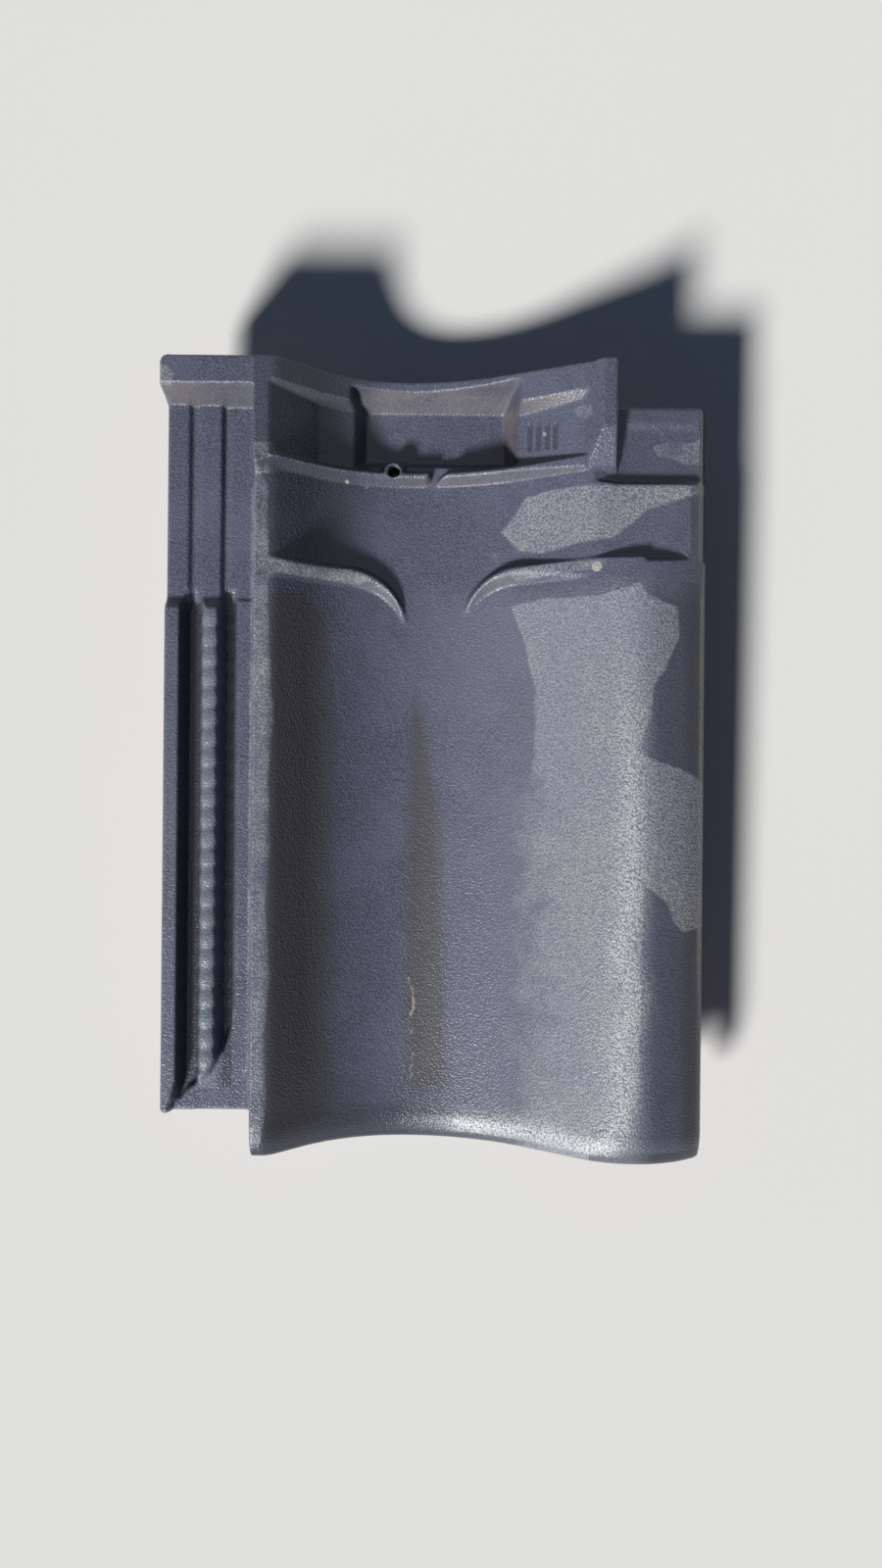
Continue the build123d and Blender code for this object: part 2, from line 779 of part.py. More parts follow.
    # Front nose
    nose_lean = (0, -1, -tan(radians(nose_angle)))
    extrude(nose_section(front_y + nose_run), amount=length, dir=nose_lean, mode=Mode.SUBTRACT)
    nose_tip_lean = (0, -1, -tan(radians(nose_tip_angle)))
    nose_tip_drop = (nose_run - nose_tip_run) * tan(radians(nose_angle))
    nose_tip = nose_section(front_y + nose_tip_run).moved(Location((0, 0, -nose_tip_drop)))
    extrude(nose_tip, amount=length, dir=nose_tip_lean, mode=Mode.SUBTRACT)

    # Outline in plan, with the cut-out corner and the set-back foot of the lock
    outer_left_x = lock_left_x - lock_back_lean
    outline_points = [
        (outer_left_x, 0),
        (corner_x, 0),
        (corner_x, -corner_depth),
        (skirt_x, -corner_depth),
        (skirt_x, front_y),
        (lock_foot_right_x, front_y),
        (lock_foot_right_x, lock_foot_y),
        (outer_left_x, lock_foot_y),
    ]
    with BuildSketch(Plane.XY.offset(ground)) as plan:
        with BuildLine():
            Polyline(*outline_points, close=True)
        make_face()
        soften(plan, corner_round, outline_points[0])
        soften(plan, edge_round, *outline_points[1:])
    extrude(amount=sky - ground, mode=Mode.INTERSECT)

# The tile lies on its pan's front end and on the nib's lower edge
lay_angle = degrees(atan2(nib_depth, nib_face_y - front_y))
laid = pressing.part.rotate(Axis.X, lay_angle)
laid_box = laid.bounding_box()
with BuildPart() as roof_tile:
    with Locations((-laid_box.center().X, -laid_box.center().Y, -laid_box.min.Z)):
        add(laid)

roof_tile.part.label = "roof_tile"
export_step(roof_tile.part, "parts/roof_tile.step")
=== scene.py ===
import math

import bpy
import numpy as np
from mathutils import Matrix, Vector


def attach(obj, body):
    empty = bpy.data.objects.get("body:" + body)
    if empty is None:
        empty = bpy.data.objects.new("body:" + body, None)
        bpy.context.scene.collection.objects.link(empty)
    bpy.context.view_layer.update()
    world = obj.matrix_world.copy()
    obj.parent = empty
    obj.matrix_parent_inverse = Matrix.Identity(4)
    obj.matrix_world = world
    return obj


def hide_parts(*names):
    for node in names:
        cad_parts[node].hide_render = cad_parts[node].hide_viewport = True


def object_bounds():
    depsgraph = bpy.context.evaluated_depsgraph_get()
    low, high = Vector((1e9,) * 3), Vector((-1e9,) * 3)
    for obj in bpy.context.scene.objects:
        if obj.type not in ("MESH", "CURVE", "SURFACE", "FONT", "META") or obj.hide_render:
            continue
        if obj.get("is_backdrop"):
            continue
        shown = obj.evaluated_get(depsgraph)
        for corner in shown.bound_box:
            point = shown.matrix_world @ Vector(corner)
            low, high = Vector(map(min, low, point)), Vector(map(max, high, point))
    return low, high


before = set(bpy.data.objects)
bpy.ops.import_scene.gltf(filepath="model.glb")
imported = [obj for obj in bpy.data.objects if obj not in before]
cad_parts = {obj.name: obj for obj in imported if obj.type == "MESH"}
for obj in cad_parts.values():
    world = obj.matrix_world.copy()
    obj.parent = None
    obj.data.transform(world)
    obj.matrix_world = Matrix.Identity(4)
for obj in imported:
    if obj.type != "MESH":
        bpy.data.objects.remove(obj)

bl_info = {
    "name": "Clay Pantile",
    "version": (1, 0, 0),
    "blender": (4, 5, 0),
    "location": "View3D > Sidebar > Pantile",
    "description": "Builds a pressed interlocking clay pantile and its studio",
    "category": "Object",
}

CAD_LOW, CAD_HIGH = (Vector(corner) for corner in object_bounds())
NODE = "roof_tile"
MM_PER_METRE = 1000.0

# Sizes of the pressing in millimetres: x from the lock to the roll, y up the
# roof with y = 0 at the head edge, z out of the weather side
LENGTH = 365.7
SKIRT_X = 121.85
LOCK_LEFT_X = -128.8
LOCK_BACK_LEFT_X = -130.47
LOCK_FOOT_Y = -346.3
LOCK_FOOT_RIGHT_X = -88.5
CORNER_X = 78.5
CORNER_Y = -19.0
NIB_DEPTH = 12.0
NIB_FACE_Y = -35.0
WALL = 11.0
LAY = math.atan2(NIB_DEPTH, LENGTH + NIB_FACE_Y)
DRAFT = 3.08
NO_LIMIT = 1000.0

# Wave of pan and roll
PAN_X = -16.0
PAN_LEFT_RADIUS = 68.0
PAN_RIGHT_RADIUS = 100.12
LEFT_SLOPE = math.radians(45.0)
RIGHT_SLOPE = math.radians(35.0)
ROLL_X = 90.0
ROLL_Z = 9.4
ROLL_RADIUS = 44.0
EDGE_X = 111.85
EDGE_Z = 35.45
EDGE_RADIUS = 10.0
EDGE_TURN = math.radians(40.0)

# Ridge between pan and lock, with the block that joins it to the rim
RIDGE_LEFT_X = -87.3
LOCK_EDGE_X = -86.7
RIDGE_EDGE_X = -82.5
RIDGE_FIELD_X = -60.0
RIDGE_SIDE_X = -40.0
RIDGE_TOP = 45.5
RIDGE_ROUND = 3.0
RIDGE_RIB_ROUND = 4.0
BLOCK_FOOT_Y = -52.0
BLOCK_RISE = [(-51.5, RIDGE_TOP), (-45.0, 53.0)]
BLOCK_SIDE_RISE = [(-51.5, 45.0), (-45.0, 53.0)]
BLOCK_SIDE_X = -79.5
BLOCK_SIDE_SLOPE = 1.3

# Lowered roll and ledge beside the rim
LOW_ROLL_X = 73.95
LOW_ROLL_TOP = 47.0
LOW_ROLL_RADIUS = 22.0
LOW_ROLL_END_Y = -46.0
LOW_ROLL_INSET = 1.0
LOW_ROLL_GAP = 0.2
LEDGE_Z = 41.5
LEDGE_BORDER_Z = 42.6
LEDGE_BORDER_Y = (-29.5, -26.5)
LEDGE_BORDER_X = (116.6, 118.6)
LEDGE_FOOT_Y = -53.5
LEDGE_WALL_Y = -60.0
LEDGE_INSET = 1.5
LEDGE_SIDE_SLOPE = 8.0
RAMP_X = (67.0, 80.0)
RAMP_WALL_Y = -62.0

# Rim and first cross rib
RIM_TOP = 53.0
RIM_LIFT = 7.0
RIM_ROUND = 2.0
RIM_X = (-90.0, 72.0)
RIM_FRONT_Y = -22.0
RIM_SLOPE = math.radians(27.0)
RIM_FOOT = [(-90.0, -13.5), (-38.0, -14.0), (30.0, -18.0), (34.0, -18.3), (65.0, -16.3)]
RIM_RUN = [(-38.0, 2.6), (30.0, 4.6)]
RIB_1_HEAD_Y = -41.5
RIB_1_FRONT_Y = -48.5
RIB_1_START_X = -86.0
RIB_1_END_X = 65.5
RIB_1_ROUND = 1.6
STRIP_X = 60.0
STRIP_ACROSS = [(62.0, 30.0), (65.0, 46.2), (71.5, 54.0), (CORNER_X, 54.0)]
STRIP_ALONG = [(-53.0, 30.0), (-47.5, 46.5), (-31.0, 54.0)]
STRIP_END_SLOPE = 10.0
DRAIN_LEFT = [(RIB_1_FRONT_Y, -8.6), (RIB_1_HEAD_Y, -6.5)]
DRAIN_RIGHT = [(RIB_1_FRONT_Y, -3.6), (RIB_1_HEAD_Y, 4.0)]
DRAIN_Y = (-51.0, -38.0)
DRAIN_SLOPE = 4.0
NAIL = (-24.0, -43.0)
NAIL_RADIUS = 3.1
NAIL_REACH = 6.5
COLLAR_RADIUS = 6.4
COLLAR_LIFT = 0.6
COLLAR_FRONT_Y = -44.0

# Pocket and batten nib: side, place where a wall starts, its rise per millimetre outwards
POCKET_FLOOR = 6.5
POCKET_FRONT_Y = -41.0
POCKET_WALLS = [("left", -38.0, 1.98), ("right", 29.6, 3.5), ("head", -12.0, 1.64), ("front", -37.0, 2.25)]
POCKET_RIMS = [("left", -43.0, 5.0), ("right", 34.6, 6.0), ("head", -5.0, 6.0)]
NIB_RISE = 26.0
NIB_WALLS = [
    ("left", -38.0, NIB_RISE / 9.0), ("right", 30.0, NIB_RISE / 9.0),
    ("front", NIB_FACE_Y, NIB_RISE / 4.5), ("head", -17.0, NIB_RISE / 14.0),
]
SIDES = {"left": (0, -1.0), "right": (0, 1.0), "head": (1, 1.0), "front": (1, -1.0)}

# Second cross rib, whose two ends turn down in hooks
RIB_2_HEAD_Y = -89.0
RIB_2_FRONT_Y = -98.0
RIB_2_LIFT = 6.0
RIB_2_ROUND = 2.6
RIB_2_HEAD_SLOPE = 4.5
RIB_2_FRONT_SLOPE = 1.5
RIB_2_END_X = 92.0
HOOK_LEFT_X, HOOK_LEFT_TIP_X, HOOK_LEFT_RADII = -46.0, -17.0, (28.4, 30.2)
HOOK_RIGHT_X, HOOK_RIGHT_TIP_X, HOOK_RIGHT_RADII = 36.0, 9.5, (25.8, 29.8)
HOOKS_MIDDLE_X = -4.0

# Lock across its middle and across its head end, as x and height
LOCK_MIDDLE = [
    (-140.0, 40.0), (-123.6, 40.0), (-122.3, 39.5), (-121.3, 38.4), (-118.9, 30.4), (-118.2, 30.0),
    (-113.6, 30.0), (-113.2, 30.6), (-111.9, 36.9), (-111.2, 38.9), (-109.9, 39.8), (-107.5, 40.1),
    (-105.1, 39.8), (-103.8, 38.9), (-103.1, 36.9), (-101.3, 30.6), (-100.8, 30.0), (-97.6, 30.0),
    (-96.9, 31.6), (-95.8, 33.2), (-94.5, 33.5), (-89.2, 33.6), (-87.8, 34.6), (-86.9, 45.5),
]
LOCK_HEAD = [
    (-140.0, 35.0), (-118.8, 35.0), (-117.2, 32.7), (-114.9, 32.7), (-112.8, 34.3), (-103.8, 34.3),
    (-102.3, 31.6), (-100.8, 31.6), (-99.0, 32.1), (-90.0, 32.0), (-87.5, 34.2), (-86.6, 53.0),
]
HEAD_STEP_Y = -107.0
HEAD_STEP_SLOPE = 1.0 / math.tan(math.radians(48.0))
HEAD_FALL_Y = -102.5
HEAD_FALL_SLOPE = 3.2 / 9.0
LOCK_RIM_Y = -17.0
LOCK_RIM_FOOT = 33.8
LOCK_RIM_SLOPE = 5.0

# Beads of the lock's middle rib, and its outer wall, which thins towards the foot
BEAD_X = -107.5
BEAD_SIDES = (-113.4, -101.2)
BEAD_PITCH = 9.3
BEAD_START = -112.0
FIRST_WAIST = -109.0
BEAD_END = -328.0
BEAD_LEAN = 0.15
BEAD_NARROWING = 0.12
BEAD_DEPTH = 0.7
BEAD_CREST_Z = 36.0
OUTER_WALL_X = -115.0
OUTER_WALL = [(-140.0, 40.0), (-121.7, 40.0), (-118.7, 30.0), (-100.0, 30.0)]
OUTER_WALL_THINNING = [(-346.0, 3.6), (-330.0, 0.0)]

# Apron at the lock's foot: its head edge as x and distance from the foot, and its side
APRON_EDGE = [
    (-122.0, 5.5), (-118.0, 10.5), (-112.5, 15.0), (-106.5, 20.0), (-100.6, 29.5), (-97.4, 40.0),
    (-96.5, 50.0),
]
APRON_SIDE = [(-90.5, 32.6), (-87.5, 35.2), (-86.9, 45.5)]
APRON_Z = 33.5
APRON_DIP = 0.9
APRON_START = (-124.5, -290.0)
APRON_SLOPE = 1.95
CREASE_PLACE = (-91.3, -328.0)
CREASE_RUN = (0.61, 0.79)

# Back of the tile
LOCK_BACK = [(-88.5, 21.5), (-79.0, 30.3)]
LAP_BACK = [
    (89.5, 42.4), (91.95, 31.2), (95.95, 31.2), (98.4, 41.2), (110.5, 41.2), (112.3, 35.0), (140.0, 35.0),
]
HEAD_LAP_X, HEAD_LAP_Y, HEAD_LAP_Z = 71.8, -105.8, 36.2
LIP_X, LIP_Z = 112.3, 35.0

# How far the front nose has fallen at a distance from the front
NOSE = [(0.0, 6.8), (0.8, 5.4), (2.0, 4.2), (4.5, 2.6), (7.0, 1.35), (9.0, 0.6), (12.0, 0.0)]
NOSE_LEFT_X, LOCK_FOOT_SIDE_X, CORNER_SIDE_X = -89.0, -88.0, 60.0
HEAD_ROUND, LOCK_ROUND, FOOT_ROUND, CORNER_ROUND = 1.4, 1.8, 1.2, 1.5

# Samples that round the pressed edges, as step and weight
SPREAD = [(-1.0, 0.1), (-0.5, 0.24), (0.0, 0.32), (0.5, 0.24), (1.0, 0.1)]

# Small lengths that keep a place on one side of a line, or a divisor above zero
TOUCH = 0.01
HAIR = 0.001
TINY = 1e-6
SHORTEST_EDGE = 1e-5

# Small bumps of the slip and the clay: x, y, radius and height
PIMPLES = [
    (101.0, -29.6, 1.6, 0.7), (108.6, -30.0, 1.3, 0.6), (-26.0, -22.3, 1.6, 0.6),
    (-23.2, -21.3, 1.2, 0.5), (-8.2, -29.3, 1.2, 0.4), (69.8, -93.5, 2.6, 0.4), (24.0, -82.9, 2.2, 0.25),
    (-41.0, -62.0, 1.0, 0.25), (62.0, -230.0, 0.9, 0.2), (-52.0, -180.0, 1.0, 0.25),
    (12.0, -300.0, 0.9, 0.2), (-34.0, -262.0, 0.9, 0.25), (101.0, -140.0, 1.0, 0.25),
    (-96.0, -150.0, 0.8, 0.2), (-94.0, -221.0, 0.8, 0.25), (-124.5, -255.0, 0.9, 0.3),
    (30.0, -170.0, 0.8, 0.2), (80.0, -318.0, 0.9, 0.2), (-125.0, -60.0, 0.9, 0.25),
    (-3.0, -66.0, 0.8, 0.2),
]

# Plain mould strokes beside the pocket: x, upper end and lower end
STROKES = [(40.5, -22.0, -36.0), (44.4, -22.6, -36.4), (48.3, -23.3, -36.8), (51.8, -24.0, -37.0)]
STROKE_DEPTH, STROKE_WIDTH, STROKE_END = 1.2, 0.8, 2.0
BURR_HEIGHT, BURR_WIDTH, BURR_SHIFT = 0.4, 0.6, 1.5


def across_table(table, x):
    """Value at x from a table of places and values."""
    places, values = zip(*table)
    return np.interp(x, places, values)


def beyond(x, y, side, place):
    """Distance past a place towards one side of the tile."""
    axis, sign = SIDES[side]
    return sign * ((x, y)[axis] - place)


def rising_walls(x, y, walls):
    """Rise over a flat floor whose walls slope up towards their sides."""
    rises = [slope * beyond(x, y, side, place) for side, place, slope in walls]
    return np.maximum(np.max(rises, axis=0), 0.0)


def soft_min(a, b, radius):
    """Lower of two heights, with the crease between them rounded."""
    share = np.clip(0.5 + 0.5 * (b - a) / radius, 0.0, 1.0)
    return b * (1.0 - share) + a * share - radius * share * (1.0 - share)


def arc(radius, run, least=TOUCH):
    """Rise of a circle over its centre at a run from it."""
    return np.sqrt(np.maximum(radius**2 - run**2, least))


def edge_fall(x, lift=0.0):
    """Height of the roll's outer edge, which rounds down to the skirt."""
    radius = EDGE_RADIUS + lift
    edge = EDGE_Z + arc(radius, np.clip(x - EDGE_X, 0.0, radius), 0.0)
    return np.where(x > EDGE_X + radius * math.sin(EDGE_TURN), edge, NO_LIMIT)


def wave(x, lift, roll_lift=None):
    """Height of pan and roll, offset square to the surface by lift."""
    roll_lift = lift if roll_lift is None else roll_lift
    left = PAN_X - x
    left_centre = WALL + PAN_LEFT_RADIUS
    left_radius = PAN_LEFT_RADIUS - lift
    left_run = left_radius * math.sin(LEFT_SLOPE)
    left_flank = left_centre - left_radius * math.cos(LEFT_SLOPE) + (left - left_run) * math.tan(LEFT_SLOPE)
    left_side = np.where(left > left_run, left_flank, left_centre - arc(left_radius, left))

    right = x - PAN_X
    right_centre = WALL + PAN_RIGHT_RADIUS
    right_radius = PAN_RIGHT_RADIUS - lift
    roll_radius = ROLL_RADIUS + roll_lift
    run_x, run_z = ROLL_X - PAN_X, ROLL_Z - right_centre
    steepness = min((right_radius + roll_radius) / math.hypot(run_x, run_z), 1.0)
    slope = math.asin(steepness) + math.atan2(run_z, run_x)
    right_run = right_radius * math.sin(slope)
    right_flank = right_centre - right_radius * math.cos(slope) + (right - right_run) * math.tan(slope)
    right_side = np.where(right > right_run, right_flank, right_centre - arc(right_radius, right))

    height = np.where(x > PAN_X, right_side, left_side)
    roll = ROLL_Z + arc(roll_radius, x - ROLL_X)
    height = np.where(x > ROLL_X - roll_radius * math.sin(slope), roll, height)
    return np.minimum(height, edge_fall(x, roll_lift))


def lowered_roll(x, y):
    """Roll between the second rib and the ledge, pressed lower for the tile above."""
    level = LOW_ROLL_TOP - LOW_ROLL_RADIUS + arc(LOW_ROLL_RADIUS, x - LOW_ROLL_X)
    level = np.where(x > LOW_ROLL_X, LOW_ROLL_TOP, level)
    level = np.where(x < LOW_ROLL_X - LOW_ROLL_RADIUS * math.sin(RIGHT_SLOPE), NO_LIMIT, level)
    level = np.minimum(level, edge_fall(x, -LOW_ROLL_INSET) - LOW_ROLL_GAP)
    return level + DRAFT * np.maximum(RIB_2_HEAD_Y - LOW_ROLL_GAP - y, 0.0)


def ledge_height(x, y):
    """Ledge with its raised border, and the walls that rise from it."""
    levels = (LEDGE_Z, LEDGE_BORDER_Z)
    border = np.maximum(np.interp(y, LEDGE_BORDER_Y, levels), np.interp(x, LEDGE_BORDER_X, levels))
    level = np.minimum(border, edge_fall(x, -LEDGE_INSET))
    walls = DRAFT * np.maximum(LEDGE_FOOT_Y - y, 0.0) + LEDGE_SIDE_SLOPE * np.maximum(CORNER_X - x, 0.0)
    return level + walls


def lowered_head(x, y, pan):
    """Wave with the ridge's flat top, the lowered roll, the ledge and the ramp between them."""
    z = np.where(x < RIDGE_FIELD_X, soft_min(pan, RIDGE_TOP, RIDGE_ROUND), pan)
    z = np.where(y < LOW_ROLL_END_Y, np.minimum(z, lowered_roll(x, y)), z)
    z = np.where(y > LEDGE_WALL_Y, np.minimum(z, ledge_height(x, y)), z)
    low_x, high_x = RAMP_X
    slope = LOW_ROLL_TOP - (LOW_ROLL_TOP - LEDGE_Z) * (x - low_x) / (high_x - low_x)
    slope = slope + DRAFT * np.maximum(LEDGE_FOOT_Y - y, 0.0)
    on_ramp = (y > RAMP_WALL_Y) & (x > low_x) & (x < high_x)
    return np.where(on_ramp, np.minimum(z, slope), z)


def rim_height(x):
    """Top of the rim and of the first rib across the tile."""
    top = soft_min(wave(x, RIM_LIFT), RIM_TOP, RIM_ROUND)
    radius = PAN_RIGHT_RADIUS - RIM_LIFT
    foot_x = PAN_X + radius * math.sin(RIM_SLOPE)
    foot_z = WALL + PAN_RIGHT_RADIUS - radius * math.cos(RIM_SLOPE)
    return np.where(x > foot_x, foot_z + (x - foot_x) * math.tan(RIM_SLOPE), top)


def raise_rim(z, x, y, pan, rim):
    """Add the rim, the first rib, the strip beside the pocket and the ridge block."""
    climb = np.clip((y - across_table(RIM_FOOT, x)) / across_table(RIM_RUN, x), 0.0, 1.0)
    at_rim = (y > RIM_FRONT_Y) & (x > RIM_X[0]) & (x < RIM_X[1])
    z = np.where(at_rim, np.maximum(z, pan + (rim - pan) * climb), z)
    depth = np.minimum(np.minimum(y - RIB_1_FRONT_Y, RIB_1_HEAD_Y - y), RIB_1_END_X - x)
    rib = soft_min(rim, pan + DRAFT * np.maximum(depth, 0.0), RIB_1_ROUND)
    z = np.where((depth > 0.0) & (x > RIB_1_START_X), np.maximum(z, rib), z)
    strip = across_table(STRIP_ACROSS, x) - STRIP_END_SLOPE * np.maximum(x - CORNER_X, 0.0)
    strip = np.minimum(strip, across_table(STRIP_ALONG, y))
    z = np.where((x > STRIP_X) & (y > STRIP_ALONG[0][0]), np.maximum(z, strip), z)
    block = across_table(BLOCK_SIDE_RISE, y) - BLOCK_SIDE_SLOPE * np.maximum(x - BLOCK_SIDE_X, 0.0)
    on_block = (x > RIDGE_LEFT_X) & (x < RIDGE_FIELD_X) & (y > BLOCK_FOOT_Y)
    return np.where(on_block, np.maximum(z, block), z)


def drain_nail_and_pocket(z, x, y, pan, rim):
    """Cut the drain notch, raise the nail's collar and sink the pocket over the nib."""
    drain = np.minimum(x - across_table(DRAIN_LEFT, y), across_table(DRAIN_RIGHT, y) - x)
    at_drain = (drain > 0.0) & (y > DRAIN_Y[0]) & (y < DRAIN_Y[1])
    z = np.where(at_drain, np.maximum(pan, z - DRAIN_SLOPE * drain), z)
    nail = np.hypot(x - NAIL[0], y - NAIL[1])
    collar = np.minimum(rim + COLLAR_LIFT, pan + DRAFT * np.maximum(COLLAR_RADIUS - nail, 0.0))
    z = np.where((nail < COLLAR_RADIUS) & (y > COLLAR_FRONT_Y), np.maximum(z, collar), z)
    pocket = POCKET_FLOOR + rising_walls(x, y, POCKET_WALLS)
    for wall in POCKET_RIMS:
        pocket = pocket + rising_walls(x, y, [wall])
    return np.where((y > POCKET_FRONT_Y) & (nail > COLLAR_RADIUS), np.minimum(z, pocket), z)


def hook_depths(x, y, straight, hook_x, radii):
    """Depth behind the head face and behind the front face of one half of the second rib."""
    head_radius, front_radius = radii
    head_circle = head_radius - np.hypot(x - hook_x, y - RIB_2_HEAD_Y + head_radius)
    front_circle = front_radius - np.hypot(x - hook_x, y - RIB_2_FRONT_Y + front_radius)
    head = np.where(straight, RIB_2_HEAD_Y - y, head_circle)
    return head, np.where(straight, y - RIB_2_FRONT_Y, -front_circle)


def raise_second_rib(z, x, y, pan):
    """Add the second rib, steep towards the head and drafted towards the front."""
    left_head, left_front = hook_depths(x, y, x < HOOK_LEFT_X, HOOK_LEFT_X, HOOK_LEFT_RADII)
    right_head, right_front = hook_depths(x, y, x > HOOK_RIGHT_X, HOOK_RIGHT_X, HOOK_RIGHT_RADII)
    in_left = (x < HOOK_LEFT_TIP_X) & (left_head > 0.0) & (left_front > 0.0)
    in_right = (x > HOOK_RIGHT_TIP_X) & (right_head > 0.0) & (right_front > 0.0)
    left = x < HOOKS_MIDDLE_X
    depth = np.where(left, np.minimum(left_head, left_front), np.minimum(right_head, right_front))
    front = np.where(left, left_front, right_front)
    top = wave(x, RIB_2_LIFT, 0.0)
    top = np.where(x < RIDGE_SIDE_X, soft_min(wave(x, RIB_2_LIFT), RIDGE_TOP, RIDGE_RIB_ROUND), top)
    rise = np.minimum(RIB_2_HEAD_SLOPE * np.maximum(depth, 0.0), RIB_2_FRONT_SLOPE * np.maximum(front, 0.0))
    rib = soft_min(top, pan + rise, RIB_2_ROUND)
    return np.where((in_left | in_right) & (x < RIB_2_END_X), np.maximum(z, rib), z)


def lock_middle(x, y):
    """Lock's channels, beaded rib and outer wall, between its head end and its apron."""
    twist = (y - BEAD_START - BEAD_LEAN * (x - BEAD_X)) / BEAD_PITCH
    waist = 1.0 - np.abs(np.sin(math.pi * twist))
    waist = np.where((y < FIRST_WAIST) & (y > BEAD_END), waist, 0.0)
    on_bead = (x > BEAD_SIDES[0]) & (x < BEAD_SIDES[1])
    bead_x = np.where(on_bead, BEAD_X + (x - BEAD_X) * (1.0 + BEAD_NARROWING * waist), x)
    height = across_table(LOCK_MIDDLE, bead_x)
    height = np.where(on_bead & (height > BEAD_CREST_Z), height - BEAD_DEPTH * waist, height)
    outer = across_table(OUTER_WALL, x + across_table(OUTER_WALL_THINNING, y))
    return np.where(x < OUTER_WALL_X, outer, height)


def lock_foot(x, y, middle):
    """Apron that drains the lock's channels onto the tile below."""
    crease = (y - CREASE_PLACE[1]) * CREASE_RUN[1] - (x - CREASE_PLACE[0]) * CREASE_RUN[0]
    apron = APRON_Z - np.clip(-crease * APRON_DIP, 0.0, APRON_DIP)
    apron = np.maximum(apron, across_table(APRON_SIDE, x) * (x > APRON_SIDE[0][0]))
    step = APRON_SLOPE * np.maximum(across_table(APRON_EDGE, x) + LOCK_FOOT_Y - y, 0.0)
    return np.where(middle < apron, np.minimum(apron, middle + step), np.maximum(apron, middle - step))


def lock_height(x, y):
    """Side lock with channels, beads, stepped head end and apron."""
    middle = lock_middle(x, y)
    head = across_table(LOCK_HEAD, x)
    rise = head + np.maximum(HEAD_STEP_Y - y, 0.0) * HEAD_STEP_SLOPE
    fall = head - np.maximum(HEAD_FALL_Y - y, 0.0) * HEAD_FALL_SLOPE
    lock = np.where(middle > head, np.minimum(middle, rise), np.maximum(middle, fall))
    on_apron = (x > APRON_START[0]) & (y < APRON_START[1])
    lock = np.where(on_apron, lock_foot(x, y, middle), lock)
    rim = np.minimum(RIM_TOP, LOCK_RIM_FOOT + LOCK_RIM_SLOPE * (y - LOCK_RIM_Y))
    return np.where(y > LOCK_RIM_Y, np.maximum(lock, rim), lock)


def weather_side(x, y):
    """Crisp height of the weather side, before its edges are rounded."""
    pan = wave(x, 0.0)
    rim = rim_height(x)
    z = lowered_head(x, y, pan)
    z = raise_rim(z, x, y, pan, rim)
    z = drain_nail_and_pocket(z, x, y, pan, rim)
    z = raise_second_rib(z, x, y, pan)
    ridge = np.where(y > BLOCK_FOOT_Y, across_table(BLOCK_RISE, y), RIDGE_TOP)
    z = np.where(x < RIDGE_EDGE_X, np.maximum(z, ridge), z)
    lock = lock_height(x, y)
    lock = np.where(y > LOCK_RIM_Y, lock, np.minimum(lock, ridge))
    return np.where(x < LOCK_EDGE_X, lock, z)


def edge_drop(inside, radius):
    """How far a rounded outer edge has fallen at a place this far inside it."""
    return radius - arc(radius, np.clip(radius - inside, 0.0, radius), 0.0)


def outer_drops(x, y):
    """How far the nose and the rounded outer edges have fallen."""
    drop = np.where(x > NOSE_LEFT_X, across_table(NOSE, y + LENGTH), 0.0)
    drop += edge_drop(-y, HEAD_ROUND)
    drop += edge_drop(x - LOCK_LEFT_X, LOCK_ROUND)
    drop += np.where(x < LOCK_FOOT_SIDE_X, edge_drop(y - LOCK_FOOT_Y, FOOT_ROUND), 0.0)
    drop += np.where(x > CORNER_X, edge_drop(CORNER_Y - y, FOOT_ROUND), 0.0)
    beside_corner = (x < CORNER_X + TOUCH) & (x > CORNER_SIDE_X) & (y > CORNER_Y)
    return drop + np.where(beside_corner, edge_drop(CORNER_X - x, CORNER_ROUND), 0.0)


def small_marks(x, y):
    """Height of the pimples and of the mould strokes with their burrs."""
    height = np.zeros_like(x)
    for place_x, place_y, radius, top in PIMPLES:
        height += top * np.exp(-((x - place_x) ** 2 + (y - place_y) ** 2) / (0.5 * radius**2))
    for place_x, high_y, low_y in STROKES:
        groove = STROKE_DEPTH * np.exp(-(((x - place_x) / STROKE_WIDTH) ** 2))
        burr = BURR_HEIGHT * np.exp(-(((x - place_x - BURR_SHIFT) / BURR_WIDTH) ** 2))
        along = np.clip((y - low_y) / STROKE_END, 0.0, 1.0) * np.clip((high_y - y) / STROKE_END, 0.0, 1.0)
        height += (burr - groove) * along
    return height


def rounded_side(x, y, softness):
    """Weather side with its pressed edges rounded by a small spread of samples."""
    total = np.zeros_like(x)
    for step_x, weight_x in SPREAD:
        for step_y, weight_y in SPREAD:
            sample_x = np.clip(x + step_x * softness, LOCK_LEFT_X, SKIRT_X - HAIR)
            sample_y = np.clip(y + step_y * softness, -LENGTH, 0.0)
            total += weight_x * weight_y * weather_side(sample_x, sample_y)
    on_skirt = x > EDGE_X + EDGE_RADIUS * math.sin(EDGE_TURN)
    total = np.where(on_skirt, np.minimum(total, weather_side(x, y)), total)
    return total - outer_drops(x, y) + small_marks(x, y)


def underside(x, y):
    """Height of the back, with the lap under the roll and the batten nib."""
    z = np.where(x < LOCK_BACK[-1][0], across_table(LOCK_BACK, x), wave(x, -WALL))
    z = np.where(x > LAP_BACK[0][0], across_table(LAP_BACK, x), z)
    head_lap = np.where(x > LAP_BACK[0][0], HEAD_LAP_Z, np.minimum(z, HEAD_LAP_Z))
    head_lap = np.where(x > LIP_X, LIP_Z, head_lap)
    z = np.where((y > HEAD_LAP_Y) & (x > HEAD_LAP_X), head_lap, z)
    return np.minimum(z, rising_walls(x, y, NIB_WALLS) - NIB_DEPTH)


